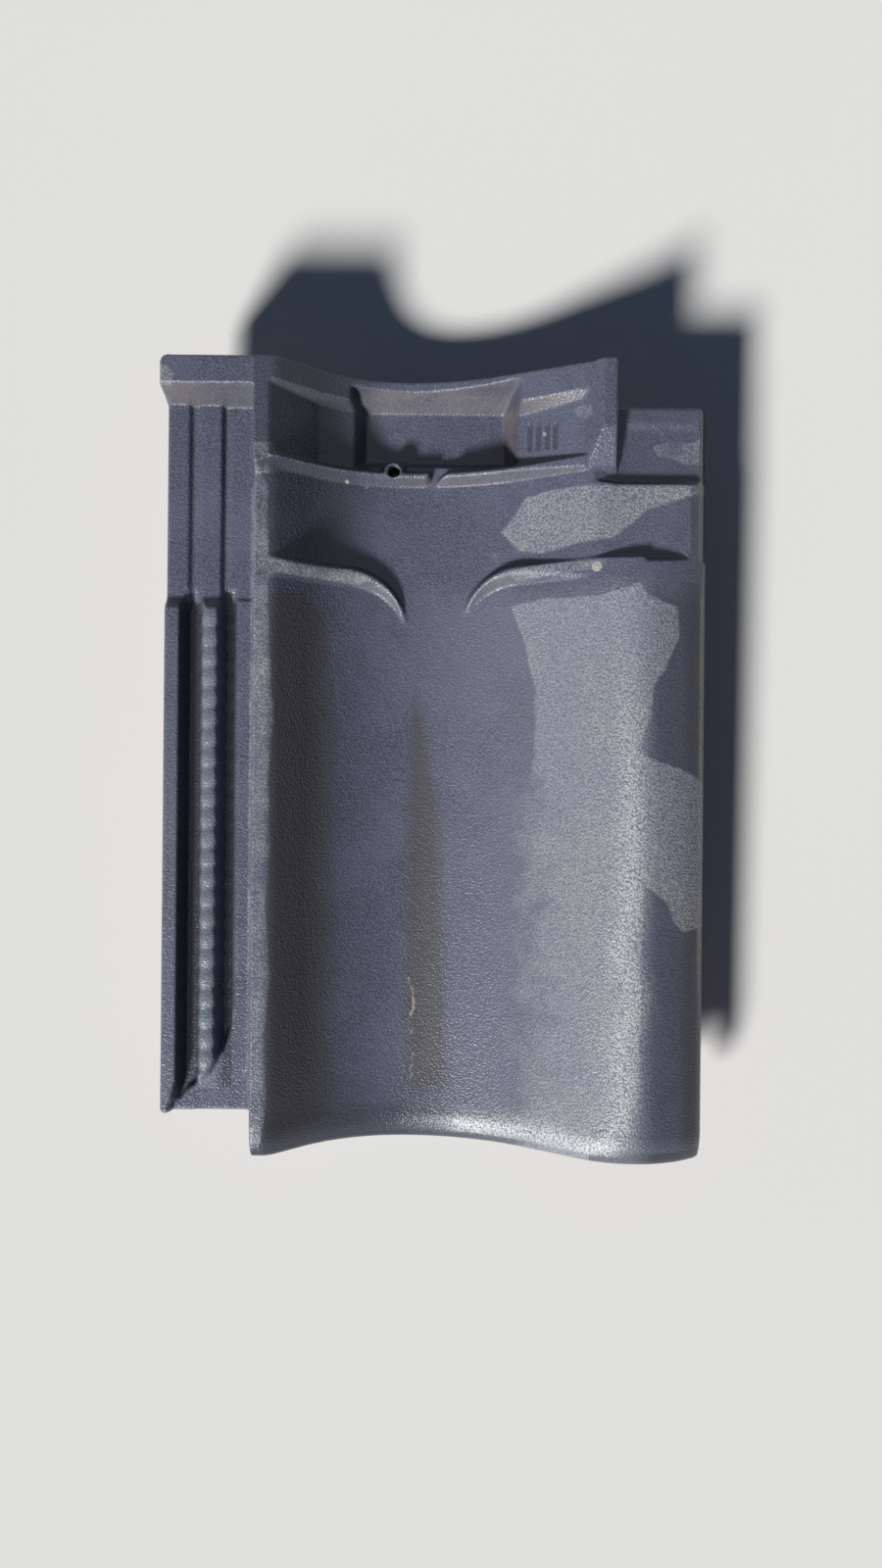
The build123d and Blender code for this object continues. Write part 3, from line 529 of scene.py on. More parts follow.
def steps_between(*runs):
    """Grid lines over runs of low end, high end and count."""
    lines = []
    for low, high, count in runs:
        lines.extend(low + (high - low) * step / count for step in range(count))
    lines.append(runs[-1][1])
    return lines


# Grid of the back, which the finer grids of the weather side divide
SEAM_X = -84.0
BACK_X = steps_between(
    (LOCK_LEFT_X, LOCK_FOOT_RIGHT_X, 6), (LOCK_FOOT_RIGHT_X, SEAM_X, 1), (SEAM_X, -79.0, 1),
    (-79.0, -42.6, 6), (-42.6, -38.0, 3), (-38.0, NAIL[0] - NAIL_RADIUS, 3),
    (NAIL[0] - NAIL_RADIUS, NAIL[0] + NAIL_RADIUS, 4), (NAIL[0] + NAIL_RADIUS, 30.0, 10), (30.0, 38.0, 4),
    (38.0, 54.0, 4), (54.0, HEAD_LAP_X, 4), (HEAD_LAP_X, CORNER_X, 2), (CORNER_X, 89.5, 4),
    (89.5, 91.95, 2), (91.95, 95.95, 1), (95.95, 98.4, 2), (98.4, 110.5, 3), (110.5, LIP_X, 1),
    (LIP_X, SKIRT_X, 3),
)
BACK_Y = steps_between(
    (-LENGTH, LOCK_FOOT_Y, 2), (LOCK_FOOT_Y, HEAD_LAP_Y, 14), (HEAD_LAP_Y, -104.8, 1),
    (-104.8, NAIL[1] - NAIL_RADIUS, 6), (NAIL[1] - NAIL_RADIUS, NAIL[1] + NAIL_RADIUS, 4),
    (NAIL[1] + NAIL_RADIUS, NIB_FACE_Y, 5), (NIB_FACE_Y, CORNER_Y, 2), (CORNER_Y, -17.0, 1),
    (-17.0, -7.0, 5), (-7.0, 0.0, 3),
)

# Widest step of the weather side's grid, as end of a stretch and step
FINE_X = [
    (SEAM_X, 0.62), (-76.0, 0.75), (38.0, 1.25), (54.0, 0.66), (60.0, 1.25), (82.0, 0.9), (LIP_X, 1.25),
    (SKIRT_X, 0.5),
]
FINE_Y = [
    (8.0 - LENGTH, 0.9), (20.0 - LENGTH, 1.4), (-118.0, 2.6), (-86.0, 0.72), (-54.5, 1.5), (-40.0, 0.62),
    (-20.5, 1.0), (0.0, 0.62),
]
LOCK_Y = [(0.0, 0.95)]

# Outer wall of the lock, which leans outwards towards the back
LEAN_X = -124.0
LEAN_RUN = 4.8

# Corners of the outline: place, direction of the centre and radius
ROUND_CORNERS = [
    (LOCK_LEFT_X, 0.0, 1, -1, 5.0), (CORNER_X, 0.0, -1, -1, 2.5), (SKIRT_X, CORNER_Y, -1, -1, 2.5),
    (SKIRT_X, -LENGTH, -1, 1, 3.5), (LOCK_FOOT_RIGHT_X, -LENGTH, 1, 1, 2.5),
    (LOCK_LEFT_X, LOCK_FOOT_Y, 1, 1, 3.0),
]


def split_lines(coarse, fineness):
    """Divide each run between grid lines into steps no wider than its stretch allows."""
    lines = [coarse[0]]
    for low, high in zip(coarse[:-1], coarse[1:]):
        widest = next(step for end, step in fineness if (low + high) / 2.0 <= end)
        count = max(1, math.ceil((high - low) / widest - HAIR))
        lines.extend(low + (high - low) * step / count for step in range(1, count + 1))
    return lines


def in_tile(x, y):
    """True where a grid cell with this middle belongs to the tile and not to the nail hole."""
    if x > CORNER_X and y > CORNER_Y:
        return False
    if x < LOCK_FOOT_RIGHT_X and y < LOCK_FOOT_Y:
        return False
    return max(abs(x - NAIL[0]), abs(y - NAIL[1])) > NAIL_RADIUS


def bend_plan(x, y):
    """Move grid points so the outline's corners and the nail hole are round."""
    for corner_x, corner_y, side_x, side_y, radius in ROUND_CORNERS:
        centre_x, centre_y = corner_x + side_x * radius, corner_y + side_y * radius
        u, v = (centre_x - x) * side_x, (centre_y - y) * side_y
        near = (u > 0.0) & (v > 0.0) & (u <= radius + TOUCH) & (v <= radius + TOUCH)
        shrink = np.where(near, np.maximum(u, v) / np.maximum(np.hypot(u, v), TINY), 1.0)
        x = np.where(near, centre_x - side_x * u * shrink, x)
        y = np.where(near, centre_y - side_y * v * shrink, y)
    u, v = x - NAIL[0], y - NAIL[1]
    square = np.maximum(np.abs(u), np.abs(v))
    share = np.clip((NAIL_REACH - square) / (NAIL_REACH - NAIL_RADIUS), 0.0, 1.0)
    shrink = 1.0 - share * (1.0 - square / np.maximum(np.hypot(u, v), TINY))
    return NAIL[0] + u * shrink, NAIL[1] + v * shrink


def outer_loops(faces):
    """Outer loops of a set of faces, each as a list of corner keys in order."""
    edges = {}
    for face in faces:
        for here, there in zip(face, face[1:] + face[:1]):
            if edges.get(there) is not None and here in edges[there]:
                edges[there].discard(here)
            else:
                edges.setdefault(here, set()).add(there)
    following = {here: next(iter(there)) for here, there in edges.items() if there}
    loops = []
    while following:
        start = next(iter(following))
        loop = [start]
        step = following.pop(start)
        while step != start:
            loop.append(step)
            step = following.pop(step)
        loops.append(loop)
    return loops


def sheet_faces(columns, rows, all_x, all_y):
    """Quads of a grid, their corners named by their place in the full set of lines."""
    faces = []
    for left, right in zip(columns[:-1], columns[1:]):
        middle_x = (all_x[left] + all_x[right]) / 2.0
        for low, high in zip(rows[:-1], rows[1:]):
            if in_tile(middle_x, (all_y[low] + all_y[high]) / 2.0):
                faces.append([(left, low), (right, low), (right, high), (left, high)])
    return faces


def press_sheets():
    """Grid lines, and the faces of the weather side and of the back."""
    all_x = split_lines(BACK_X, FINE_X)
    sheet_y = split_lines(BACK_Y, FINE_Y)
    all_y = split_lines(sheet_y, LOCK_Y)
    column = {round(value, 6): number for number, value in enumerate(all_x)}
    row = {round(value, 6): number for number, value in enumerate(all_y)}
    seam = column[round(SEAM_X, 6)]
    sheet_rows = [row[round(value, 6)] for value in sheet_y]
    top = sheet_faces(range(seam + 1), range(len(all_y)), all_x, all_y)
    for face in sheet_faces(range(seam, len(all_x)), sheet_rows, all_x, all_y):
        (left, low), _, _, (_, high) = face
        if left == seam:
            face = face + [(left, between) for between in range(high - 1, low, -1)]
        top.append(face)
    back_columns = [column[round(value, 6)] for value in BACK_X]
    back_rows = [row[round(value, 6)] for value in BACK_Y]
    return all_x, all_y, top, sheet_faces(back_columns, back_rows, all_x, all_y)


def wall_faces(top, back, top_number, back_number):
    """Walls between the two sheets, around the outline and the nail hole."""
    walls = []
    top_loops = outer_loops(top)
    for loop in outer_loops(back):
        partner = next(other for other in top_loops if loop[0] in other)
        places = {key: number for number, key in enumerate(partner)}
        for here, there in zip(loop, loop[1:] + loop[:1]):
            run = [here]
            while run[-1] != there:
                run.append(partner[(places[run[-1]] + 1) % len(partner)])
            foot = [back_number[here], back_number[there]]
            walls.append(foot + [top_number[key] for key in reversed(run)])
    return walls


def place_in_frame(x, y, z):
    """Turn and move points of the pressing, in millimetres, into the shared frame, in metres."""
    turned_y = y * math.cos(LAY) - z * math.sin(LAY)
    turned_z = y * math.sin(LAY) + z * math.cos(LAY)
    shift_x = CAD_HIGH.x * MM_PER_METRE - SKIRT_X
    shift_y = CAD_HIGH.y * MM_PER_METRE
    shift_z = LENGTH * math.sin(LAY)
    return np.stack([x + shift_x, turned_y + shift_y, turned_z + shift_z], axis=-1) / MM_PER_METRE


def press_mesh(softness):
    """Points, faces and plan of the whole tile; slot 0 is the slip, slot 1 the bare clay."""
    all_x, all_y, top, back = press_sheets()
    lines_x, lines_y = np.array(all_x), np.array(all_y)
    top_keys = sorted({key for face in top for key in face})
    back_keys = sorted({key for face in back for key in face})
    top_number = {key: number for number, key in enumerate(top_keys)}
    back_number = {key: number + len(top_keys) for number, key in enumerate(back_keys)}
    top_columns, top_rows = np.array(top_keys).T
    back_columns, back_rows = np.array(back_keys).T
    top_x, top_y = bend_plan(lines_x[top_columns], lines_y[top_rows])
    back_x, back_y = bend_plan(lines_x[back_columns], lines_y[back_rows])
    top_points = place_in_frame(top_x, top_y, rounded_side(top_x, top_y, softness))
    lean = np.clip((LEAN_X - back_x) / LEAN_RUN, 0.0, 1.0) * (LOCK_BACK_LEFT_X - LOCK_LEFT_X)
    back_points = place_in_frame(back_x + lean, back_y, underside(back_x, back_y))

    walls = wall_faces(top, back, top_number, back_number)
    faces = [[top_number[key] for key in face] for face in top]
    faces += [[back_number[key] for key in reversed(face)] for face in back] + walls
    slots = [0] * len(top) + [1] * len(back) + [0] * len(walls)
    plan = np.concatenate([top_x, back_x + lean]), np.concatenate([top_y, back_y])
    return np.concatenate([top_points, back_points]), faces, slots, plan, len(top_keys)


# Outlines of the pale dried patches, in the pressing's plan
DRY_HEAD = [
    (27.9, -72.5), (34.2, -65.2), (38.6, -57.9), (49.0, -55.9), (94.0, -55.9), (124.0, -51.5),
    (121.9, -58.3), (107.7, -62.2), (91.6, -67.7), (85.0, -74.3), (77.0, -80.2), (64.0, -81.7),
    (46.3, -84.3), (36.1, -82.2),
]
DRY_ROLL = [
    (32.3, -108.3), (49.5, -106.2), (68.8, -106.8), (83.1, -103.9), (88.8, -101.3), (92.4, -107.4),
    (106.3, -111.7), (107.4, -125.4), (101.3, -139.0), (95.4, -148.4), (94.2, -163.0), (88.1, -177.6),
    (96.2, -181.5), (106.0, -184.5), (115.6, -188.4), (123.0, -194.2), (125.2, -223.8), (125.6, -251.7),
    (121.9, -258.0), (111.2, -259.3), (106.7, -255.1), (102.3, -245.2), (92.2, -238.1), (91.1, -258.4),
    (90.4, -332.5), (85.3, -346.8), (51.5, -352.0), (47.1, -284.2), (46.2, -229.3), (45.1, -152.2),
    (37.4, -121.3),
]
DRY_RIDGE = [
    (-87.0, -47.0), (-84.5, -47.0), (-84.0, -52.0), (-80.6, -56.0), (-80.3, -90.0), (-76.0, -94.0),
    (-80.5, -102.0), (-79.0, -140.0), (-77.6, -165.0), (-79.6, -190.0), (-78.0, -222.0), (-80.4, -250.0),
    (-77.8, -281.0), (-80.6, -310.0), (-79.0, -340.0), (-81.5, -358.0), (-89.5, -358.0), (-89.5, -56.0),
]
DRY_SPOTS = [
    [(-86.3, -39.6), (-77.0, -39.4), (-75.6, -42.3), (-77.2, -45.3), (-86.2, -45.4)],
    [(-129.0, -13.0), (-129.0, -5.0), (-125.0, -6.0), (-122.5, -9.6), (-124.0, -13.4)],
    [
        (96.0, -37.5), (103.0, -34.5), (112.0, -35.5), (119.0, -33.0), (120.0, -44.5), (112.0, -45.5),
        (104.0, -42.0), (99.0, -41.0),
    ],
    [(60.0, -20.0), (62.5, -18.5), (67.0, -20.0), (67.5, -24.0), (64.0, -25.5), (61.0, -24.0)],
    [(21.0, -82.4), (24.0, -81.6), (26.8, -83.0), (24.0, -84.2)],
    [
        (-82.0, -89.6), (-62.0, -89.6), (-44.0, -90.4), (-34.0, -94.6), (-40.0, -97.4), (-60.0, -96.4),
        (-82.0, -96.6),
    ],
    [(30.0, -92.6), (50.0, -90.8), (74.0, -90.2), (74.0, -93.6), (52.0, -95.2), (34.0, -96.8)],
]

# Outlines of the dull brown streak down the pan and of the left flank, whose dull film also paints the
# flank's shade
DULL_STREAK = [
    (-15.0, -168.0), (-13.0, -150.0), (-6.0, -175.0), (-1.0, -215.0), (2.0, -270.0), (4.0, -340.0),
    (-14.0, -343.0), (-16.5, -300.0), (-16.0, -240.0),
]
DULL_SHADED_FLANK = [
    (-79.0, -106.0), (-66.0, -104.0), (-55.0, -116.0), (-50.0, -160.0), (-52.0, -210.0), (-49.0, -260.0),
    (-51.0, -310.0), (-48.0, -350.0), (-79.0, -358.0),
]

# Line along which a highlight is painted on the roll and the nose, and the lime on them as x, y and radius
# or as lines
PAINTED_HIGHLIGHT_BAND = [
    (80.0, -106.0), (84.0, -150.0), (86.0, -200.0), (85.5, -248.6), (82.4, -269.1), (87.4, -287.7),
    (82.8, -311.7), (83.9, -333.9), (82.5, -347.0), (74.4, -357.0), (65.8, -359.0), (51.3, -355.5),
    (33.7, -357.0), (12.0, -358.5),
]
PAINTED_HIGHLIGHT_REACH = 6.5
PAINTED_HIGHLIGHT_FRONT_Y = -361.5
LIME_SPOTS = [
    (70.0, -93.5, 2.3), (-46.4, -48.6, 0.8), (-37.1, -50.0, 0.7), (-85.0, -352.0, 0.9),
    (47.0, -29.0, 1.2),
]
LIME_STREAKS = [
    [
        (-16.1, -286.0), (-14.0, -288.6), (-14.9, -291.2), (-12.6, -293.0), (-13.3, -296.4),
        (-11.6, -298.1), (-12.9, -300.6), (-12.0, -303.0), (-13.8, -304.6), (-13.0, -307.5),
    ],
    [(-12.6, -312.0), (-13.7, -314.4), (-12.4, -316.2)],
    [
        (-13.9, -322.0), (-12.2, -324.1), (-13.4, -326.8), (-12.1, -329.5), (-13.8, -331.2),
        (-12.7, -334.5), (-13.9, -336.4),
    ],
]
LIME_HALF_WIDTH = 0.4
FAR_OUTSIDE = -50.0
THIN_FILM_DEPTH = 0.1

# Soft borders of the dried roll and of the dull flank with its painted shade: place, and what they lose or
# rise
DRY_ROLL_LEFT = (44.0, 70.0)
DRY_ROLL_FADE = (-150.0, -40.0, 0.94)
FLANK_DEPTH = 3.0
FLANK_RIGHT = (-59.0, 0.45)

# Areas of stains, of painted shade and of painted reflection: strength, then the sides that bound an area,
# each as side, place and the width over which the area fades in behind it
HARD = 0.001
WET_ROLL = [("right", 88.0, 10.0), ("front", -96.0, 14.0)]
# Narrow line along the roll's outer edge, where a warm reflection is painted in brown and in glints
WARM_EDGE_REFLECTION = [("right", 117.77, 1.1), ("left", 120.63, 1.1), ("front", -104.0, 3.0), ("head", -296.0, 22.0)]
LOCK_RUN = [("front", -109.0, HARD), ("head", -335.0, HARD)]
DAMP_AND_SHADE_AREAS = [
    (0.55, WET_ROLL),
    # Painted shade along the roll's right side, then a painted shadow line at its very edge
    (1.2, [("right", 104.0, 10.0), ("left", 118.0, HARD), ("front", -100.0, HARD)]),
    (1.2, [("right", 120.2, HARD)]),
    (1.3, [("right", -82.0, HARD), ("left", 18.0, 40.0), ("front", -342.0, 14.0)]),
    (0.5, [("right", -58.0, HARD), ("left", 34.0, 40.0), ("front", -322.0, 30.0)]),
    (0.45, [("right", CORNER_X, HARD), ("head", -54.0, HARD)]),
    # Painted shade in the lock's two channels
    (1.2, [("right", -121.5, HARD), ("left", -113.4, HARD)] + LOCK_RUN),
    (1.2, [("right", -101.0, HARD), ("left", -96.8, HARD)] + LOCK_RUN),
    # Painted shade in the field beside the ridge, above the second rib
    (0.8, [("right", -86.0, HARD), ("left", -30.0, 16.0), ("head", -98.0, HARD)]),
]
# Pale dust on the pan's right flank, which also paints the sheen of its lit side
DUSTY_SHEEN_FLANK = [("right", -18.0, 62.0), ("front", -96.0, 14.0)]
DUSTY_BEADS = [
    ("right", BEAD_X - 4.8, 2.0), ("left", BEAD_X + 4.8, 2.0),
    ("front", -108.0, HARD), ("head", -336.0, HARD),
]
DUSTY_WALL = [("left", -121.0, 1.2), ("front", -108.0, HARD)]
# Painted brown reflection on the roll's and the ledge's outer edges, on walls of the lock and the pocket,
# and on faces that look down the roof
BROWN_REFLECTION_AREAS = [
    (1.6, WARM_EDGE_REFLECTION),
    (1.0, [("right", 119.8, 0.8), ("front", CORNER_Y, HARD), ("head", -104.0, HARD)]),
    (0.15, [("right", 106.0, 9.0), ("front", -100.0, HARD)]),
    (0.6, [("right", -88.6, 1.2), ("left", -86.2, 1.2), ("head", -107.0, HARD)]),
    (1.2, [("right", 28.0, 4.0), ("left", 36.0, 4.0), ("front", -12.0, HARD), ("head", -37.0, HARD)]),
]
BROWN_REFLECTION_SLOPES = [(0.55, [("head", -22.0, HARD)]), (0.45, [("left", 60.0, HARD), ("head", -125.0, HARD)])]

# Two oval spots in the pocket, painted shade on its left wall and painted brown reflection near its head: x
# and y of the middle, slimness, reach and peak
SHADE_OVAL = (-37.0, -24.0, 1.5, 9.0, 1.2)
BROWN_REFLECTION_OVAL = (-36.0, -13.0, 1.6, 6.0, 1.0)
BROWN_REFLECTION_OVAL_SHARE = 0.36

# Painted shade on the nose's front face with its upper border, painted shade in the mould strokes, and dust
# on the beads
FRONT_FACE = [(48.0, -360.0), (68.0, -357.8)]
FRONT_FACE_FADE = -2.5
FRONT_FACE_SHARE = 1.5
STROKE_SHADE_WIDTH = 0.9
BEAD_DUST_SHARE = 1.5

# Dust on the outer wall and the painted highlight on the roll grow towards the front: start, run, least,
# most
WALL_DUST = (-150.0, 80.0, 0.1, 0.5)
CREST_PAINTED_HIGHLIGHT = (-118.0, 90.0, 0.15, 1.0)
EDGE_PAINTED_HIGHLIGHT_SHARE = 0.35

# Slope down the roof at which the painted brown reflection starts, and over which it grows
BROWN_REFLECTION_SLOPE_START = 0.1875
BROWN_REFLECTION_SLOPE_RUN = 0.625


def distance_to_line(x, y, line):
    """Distance to an open line of places."""
    best = np.full(x.shape, np.inf)
    for (ax, ay), (bx, by) in zip(line[:-1], line[1:]):
        run_x, run_y = bx - ax, by - ay
        share = np.clip(((x - ax) * run_x + (y - ay) * run_y) / (run_x**2 + run_y**2), 0.0, 1.0)
        best = np.minimum(best, np.hypot(x - ax - share * run_x, y - ay - share * run_y))
    return best


def polygon_depth(x, y, outline):
    """Distance inside a closed outline, negative outside it."""
    inside = np.zeros(x.shape, dtype=bool)
    for (ax, ay), (bx, by) in zip(outline, outline[1:] + outline[:1]):
        if ay != by:
            inside ^= ((ay > y) != (by > y)) & (x < (bx - ax) * (y - ay) / (by - ay) + ax)
    distance = distance_to_line(x, y, outline + outline[:1])
    return np.where(inside, distance, -distance)


def ramp(value, start, run):
    """Share that grows from 0 at a start to 1 after a run."""
    return np.clip((value - start) / run, 0.0, 1.0)


def growth_to_front(y, table):
    """Share that grows down the tile between its least and its most."""
    start, run, least, most = table
    return np.clip((start - y) / run, least, most)


def area_share(x, y, sides):
    """Share of an area, which fades in behind each of its sides."""
    return np.prod([ramp(beyond(x, y, side, place), 0.0, fade) for side, place, fade in sides], axis=0)


def strongest_area(x, y, areas):
    """Highest share among areas of different strength."""
    return np.max([strength * area_share(x, y, sides) for strength, sides in areas], axis=0)


def oval_share(x, y, oval):
    """Share that falls from the middle of an upright oval."""
    middle_x, middle_y, slimness, reach, peak = oval
    return np.clip(peak - np.hypot(x - middle_x, (y - middle_y) / slimness) / reach, 0.0, 1.0)


def dry_mask(x, y):
    """Depth inside the dried patches; thin films lie along the ridge and in spots."""
    left, right = DRY_ROLL_LEFT
    fade_y, fade_run, loss = DRY_ROLL_FADE
    soft_left = (x - left) * (1.0 - loss * ramp(y, fade_y, fade_run))
    roll = np.where((x < right) & (y < fade_y), soft_left, polygon_depth(x, y, DRY_ROLL))
    depths = [polygon_depth(x, y, DRY_HEAD), roll]
    for outline in [DRY_RIDGE] + DRY_SPOTS:
        depths.append(np.minimum(polygon_depth(x, y, outline), THIN_FILM_DEPTH))
    return np.max(depths, axis=0)


def dull_and_shade_mask(x, y):
    """Depth inside the dull streak, and inside the dull film that also paints the left flank's shade, whose
    right border is soft.
    """
    right, slope = FLANK_RIGHT
    flank = np.minimum(FLANK_DEPTH * polygon_depth(x, y, DULL_SHADED_FLANK), FLANK_DEPTH - (x - right) * slope)
    return np.maximum(polygon_depth(x, y, DULL_STREAK), flank)


def lime_mask(x, y):
    """Depth inside the traces of lime."""
    traces = [distance_to_line(x, y, streak) - LIME_HALF_WIDTH for streak in LIME_STREAKS]
    traces += [np.hypot(x - place_x, y - place_y) - radius for place_x, place_y, radius in LIME_SPOTS]
    return -np.min(traces, axis=0)


def damp_and_shade_mask(x, y):
    """Share of dampness where water stays longest, and of painted shade on the roll's right side, in the
    lock's channels, beside the ridge, on the nose's front face, on the pocket's left wall and in the mould
    strokes.
    """
    front_face = ramp(y, across_table(FRONT_FACE, x), FRONT_FACE_FADE) * (x > NOSE_LEFT_X)
    places = [strongest_area(x, y, DAMP_AND_SHADE_AREAS), FRONT_FACE_SHARE * front_face, oval_share(x, y, SHADE_OVAL)]
    for place_x, high_y, low_y in STROKES:
        stroke = np.exp(-(((x - place_x) / STROKE_SHADE_WIDTH) ** 2))
        places.append(stroke * (y < high_y) * (y > low_y))
    return np.max(places, axis=0)


def painted_highlight_mask(x, y):
    """Share of painted glints and highlights along the roll's crest, the nose and the outer edge."""
    crest = np.exp(-((distance_to_line(x, y, PAINTED_HIGHLIGHT_BAND) / PAINTED_HIGHLIGHT_REACH) ** 2))
    crest = crest * growth_to_front(y, CREST_PAINTED_HIGHLIGHT)
    return np.maximum(crest, EDGE_PAINTED_HIGHLIGHT_SHARE * area_share(x, y, WARM_EDGE_REFLECTION)) * (y > PAINTED_HIGHLIGHT_FRONT_Y)


def veil_and_sheen_mask(x, y):
    """Share of thin dust on the beads and the outer wall, and of pale dust on the pan's right flank that
    also paints the sheen of its lit side.
    """
    flank = area_share(x, y, DUSTY_SHEEN_FLANK) * (1.0 - area_share(x, y, WET_ROLL))
    beads = BEAD_DUST_SHARE * area_share(x, y, DUSTY_BEADS)
    wall = area_share(x, y, DUSTY_WALL) * growth_to_front(y, WALL_DUST)
    return np.max([flank, beads, wall], axis=0)


def brown_reflection_mask(mesh, x, y):
    """Share of painted brown reflection along edges, on walls of the lock and the pocket and on faces that
    look down the roof.
    """
    normals = np.empty(len(mesh.vertices) * 3)
    mesh.vertices.foreach_get("normal", normals)
    slopes = ramp(-normals[1::3], BROWN_REFLECTION_SLOPE_START, BROWN_REFLECTION_SLOPE_RUN) * strongest_area(x, y, BROWN_REFLECTION_SLOPES)
    oval = BROWN_REFLECTION_OVAL_SHARE * oval_share(x, y, BROWN_REFLECTION_OVAL)
    return np.max([strongest_area(x, y, BROWN_REFLECTION_AREAS), oval, slopes], axis=0)


def stain_masks(mesh, plan, top_count):
    """Masks of drying, dirt, lime, painted shade, painted highlight and painted reflection for every point;
    the back and the walls have none.
    """
    x, y = plan
    top = np.arange(len(x)) < top_count
    depths = {"dry": dry_mask(x, y), "dull_and_shade": dull_and_shade_mask(x, y), "lime": lime_mask(x, y)}
    depths = {name: np.where(top, depth, FAR_OUTSIDE) for name, depth in depths.items()}
    shares = {
        "veil_and_sheen": veil_and_sheen_mask(x, y), "brown_reflection": brown_reflection_mask(mesh, x, y),
        "damp_and_shade": damp_and_shade_mask(x, y), "painted_highlight": painted_highlight_mask(x, y),
    }
    return depths | {name: share * top for name, share in shares.items()}


# Times that the curvature is evened out with that of the points around
WEAR_ROUNDS = 2


def wear_mask(mesh):
    """How far each point stands out of, or lies in, the surface around it, per millimetre."""
    count = len(mesh.vertices)
    points = np.empty(count * 3)
    mesh.vertices.foreach_get("co", points)
    normals = np.empty(count * 3)
    mesh.vertices.foreach_get("normal", normals)
    points, normals = points.reshape(-1, 3), normals.reshape(-1, 3)
    pairs = np.empty(len(mesh.edges) * 2, dtype=np.int32)
    mesh.edges.foreach_get("vertices", pairs)
    here, there = pairs.reshape(-1, 2).T
    run = points[there] - points[here]
    length = np.maximum(np.linalg.norm(run, axis=1), SHORTEST_EDGE)
    turn = np.einsum("ij,ij->i", normals[there] - normals[here], run) / length**2
    total = np.zeros(count)
    weight = np.zeros(count)
    for ends in (here, there):
        np.add.at(total, ends, turn)
        np.add.at(weight, ends, 1.0)
    weight = np.maximum(weight, 1.0)
    curve = total / weight / MM_PER_METRE
    for _ in range(WEAR_ROUNDS):
        spread = np.zeros(count)
        np.add.at(spread, here, curve[there])
        np.add.at(spread, there, curve[here])
        curve = 0.5 * curve + 0.5 * spread / weight
    return curve


def store_mask(mesh, name, values):
    """Keep one number per point of the mesh under a name."""
    layer = mesh.attributes.new(name, "FLOAT", "POINT")
    layer.data.foreach_set("value", np.asarray(values, dtype=np.float32))


def color_setting(name, description, default):
    """Colour that a user can change."""
    return bpy.props.FloatVectorProperty(
        name=name, description=description, subtype="COLOR", size=3, min=0.0, max=1.0, default=default
    )


def length_setting(name, description, default):
    """Length in metres that a user can change."""
    return bpy.props.FloatProperty(
        name=name, description=description, default=default, min=0.00001, unit="LENGTH", precision=5
    )


def share_setting(name, description, default):
    """Share from 0 to 1 that a user can change."""
    return bpy.props.FloatProperty(
        name=name, description=description, default=default, min=0.0, max=1.0, subtype="FACTOR"
    )


def number_setting(name, description, default, subtype="NONE"):
    """Strength or angle that a user can change."""
    return bpy.props.FloatProperty(
        name=name, description=description, default=default, min=0.0, subtype=subtype
    )


class PantileProperties(bpy.types.PropertyGroup):
    """Sizes, colours, dirt and painted shade, highlights and reflections of the tile."""

    softness: length_setting("Edge Softness", "Spread that rounds the pressed edges", 0.0008)
    grain_size: length_setting("Grain Size", "Width of one grain of the skin", 0.0009)
    grain_height: length_setting("Grain Height", "Height of the skin's grain", 0.0003)
    engobe_color: color_setting("Engobe", "Dark clay slip of the weather side", (0.092, 0.104, 0.156))
    engobe_deep_color: color_setting("Engobe In Hollows", "Slip between the grains", (0.050, 0.055, 0.082))
    dust_color: color_setting("Dry Dust", "Pale film on dried patches", (0.262, 0.292, 0.345))
    warm_dust_color: color_setting("Warm Dust", "Warm specks in the pale film", (0.40, 0.355, 0.285))
    # Brown of dirt in hollows, and of the painted brown reflection on walls and edges
    brown_dirt_and_reflection_color: color_setting("Brown Tint", "Brown of hollows and worn edges", (0.162, 0.135, 0.108))
    # Dark film of the streak, also painting the shade on the left flank
    dull_and_shade_color: color_setting("Dull Film", "Dark brown film of streak and flank", (0.056, 0.052, 0.054))
    # Colour of the glints painted as highlights along the roll, the nose and the outer edge
    painted_glint_color: color_setting("Glints", "Small glints along the roll", (0.56, 0.57, 0.58))
    lime_color: color_setting("Lime", "Traces of lime", (0.50, 0.47, 0.42))
    clay_color: color_setting("Bare Clay", "Fired clay of the back", (0.235, 0.105, 0.062))
    tint_share: share_setting("Brown Tint Share", "How strongly hollows are tinted brown", 0.55)
    dull_and_shade_share: share_setting("Dull Film Share", "How strongly the dull film covers", 0.8)
    # Darkens the damp places and the painted shade
    damp_and_shade_share: share_setting("Damp Share", "How much darker the damp places are", 0.62)
    # Thin dust, also painting the sheen on the pan's right flank
    veil_and_sheen_share: share_setting("Veil Share", "How strongly thin dust covers", 0.25)
    worn_share: share_setting("Worn Edge Share", "How much paler the worn edges are", 0.45)
    lime_share: share_setting("Lime Share", "How strongly the lime covers", 0.6)


class PantileStageProperties(bpy.types.PropertyGroup):
    """Floor, camera and light of the studio."""

    floor_color: color_setting("Floor", "Colour of the studio floor", (0.80, 0.80, 0.79))
    floor_half_width: length_setting("Floor Half Width", "Distance from the tile to the floor's edge", 9.0)
    camera_height: length_setting("Camera Height", "Height of the camera over the pan", 0.587)
    key_color: color_setting("Key Colour", "Colour of the light from the front left", (1.0, 0.98, 0.95))
    key_strength: number_setting("Key Light", "Strength of the light from the front left", 5.1)
    key_spread: number_setting("Key Spread", "Angle that the key light spans", 0.19, "ANGLE")
    fill_color: color_setting("Fill Colour", "Colour of the light from all around", (0.42, 0.62, 1.0))
    fill_strength: number_setting("Fill Light", "Strength of the light from all around", 0.07)


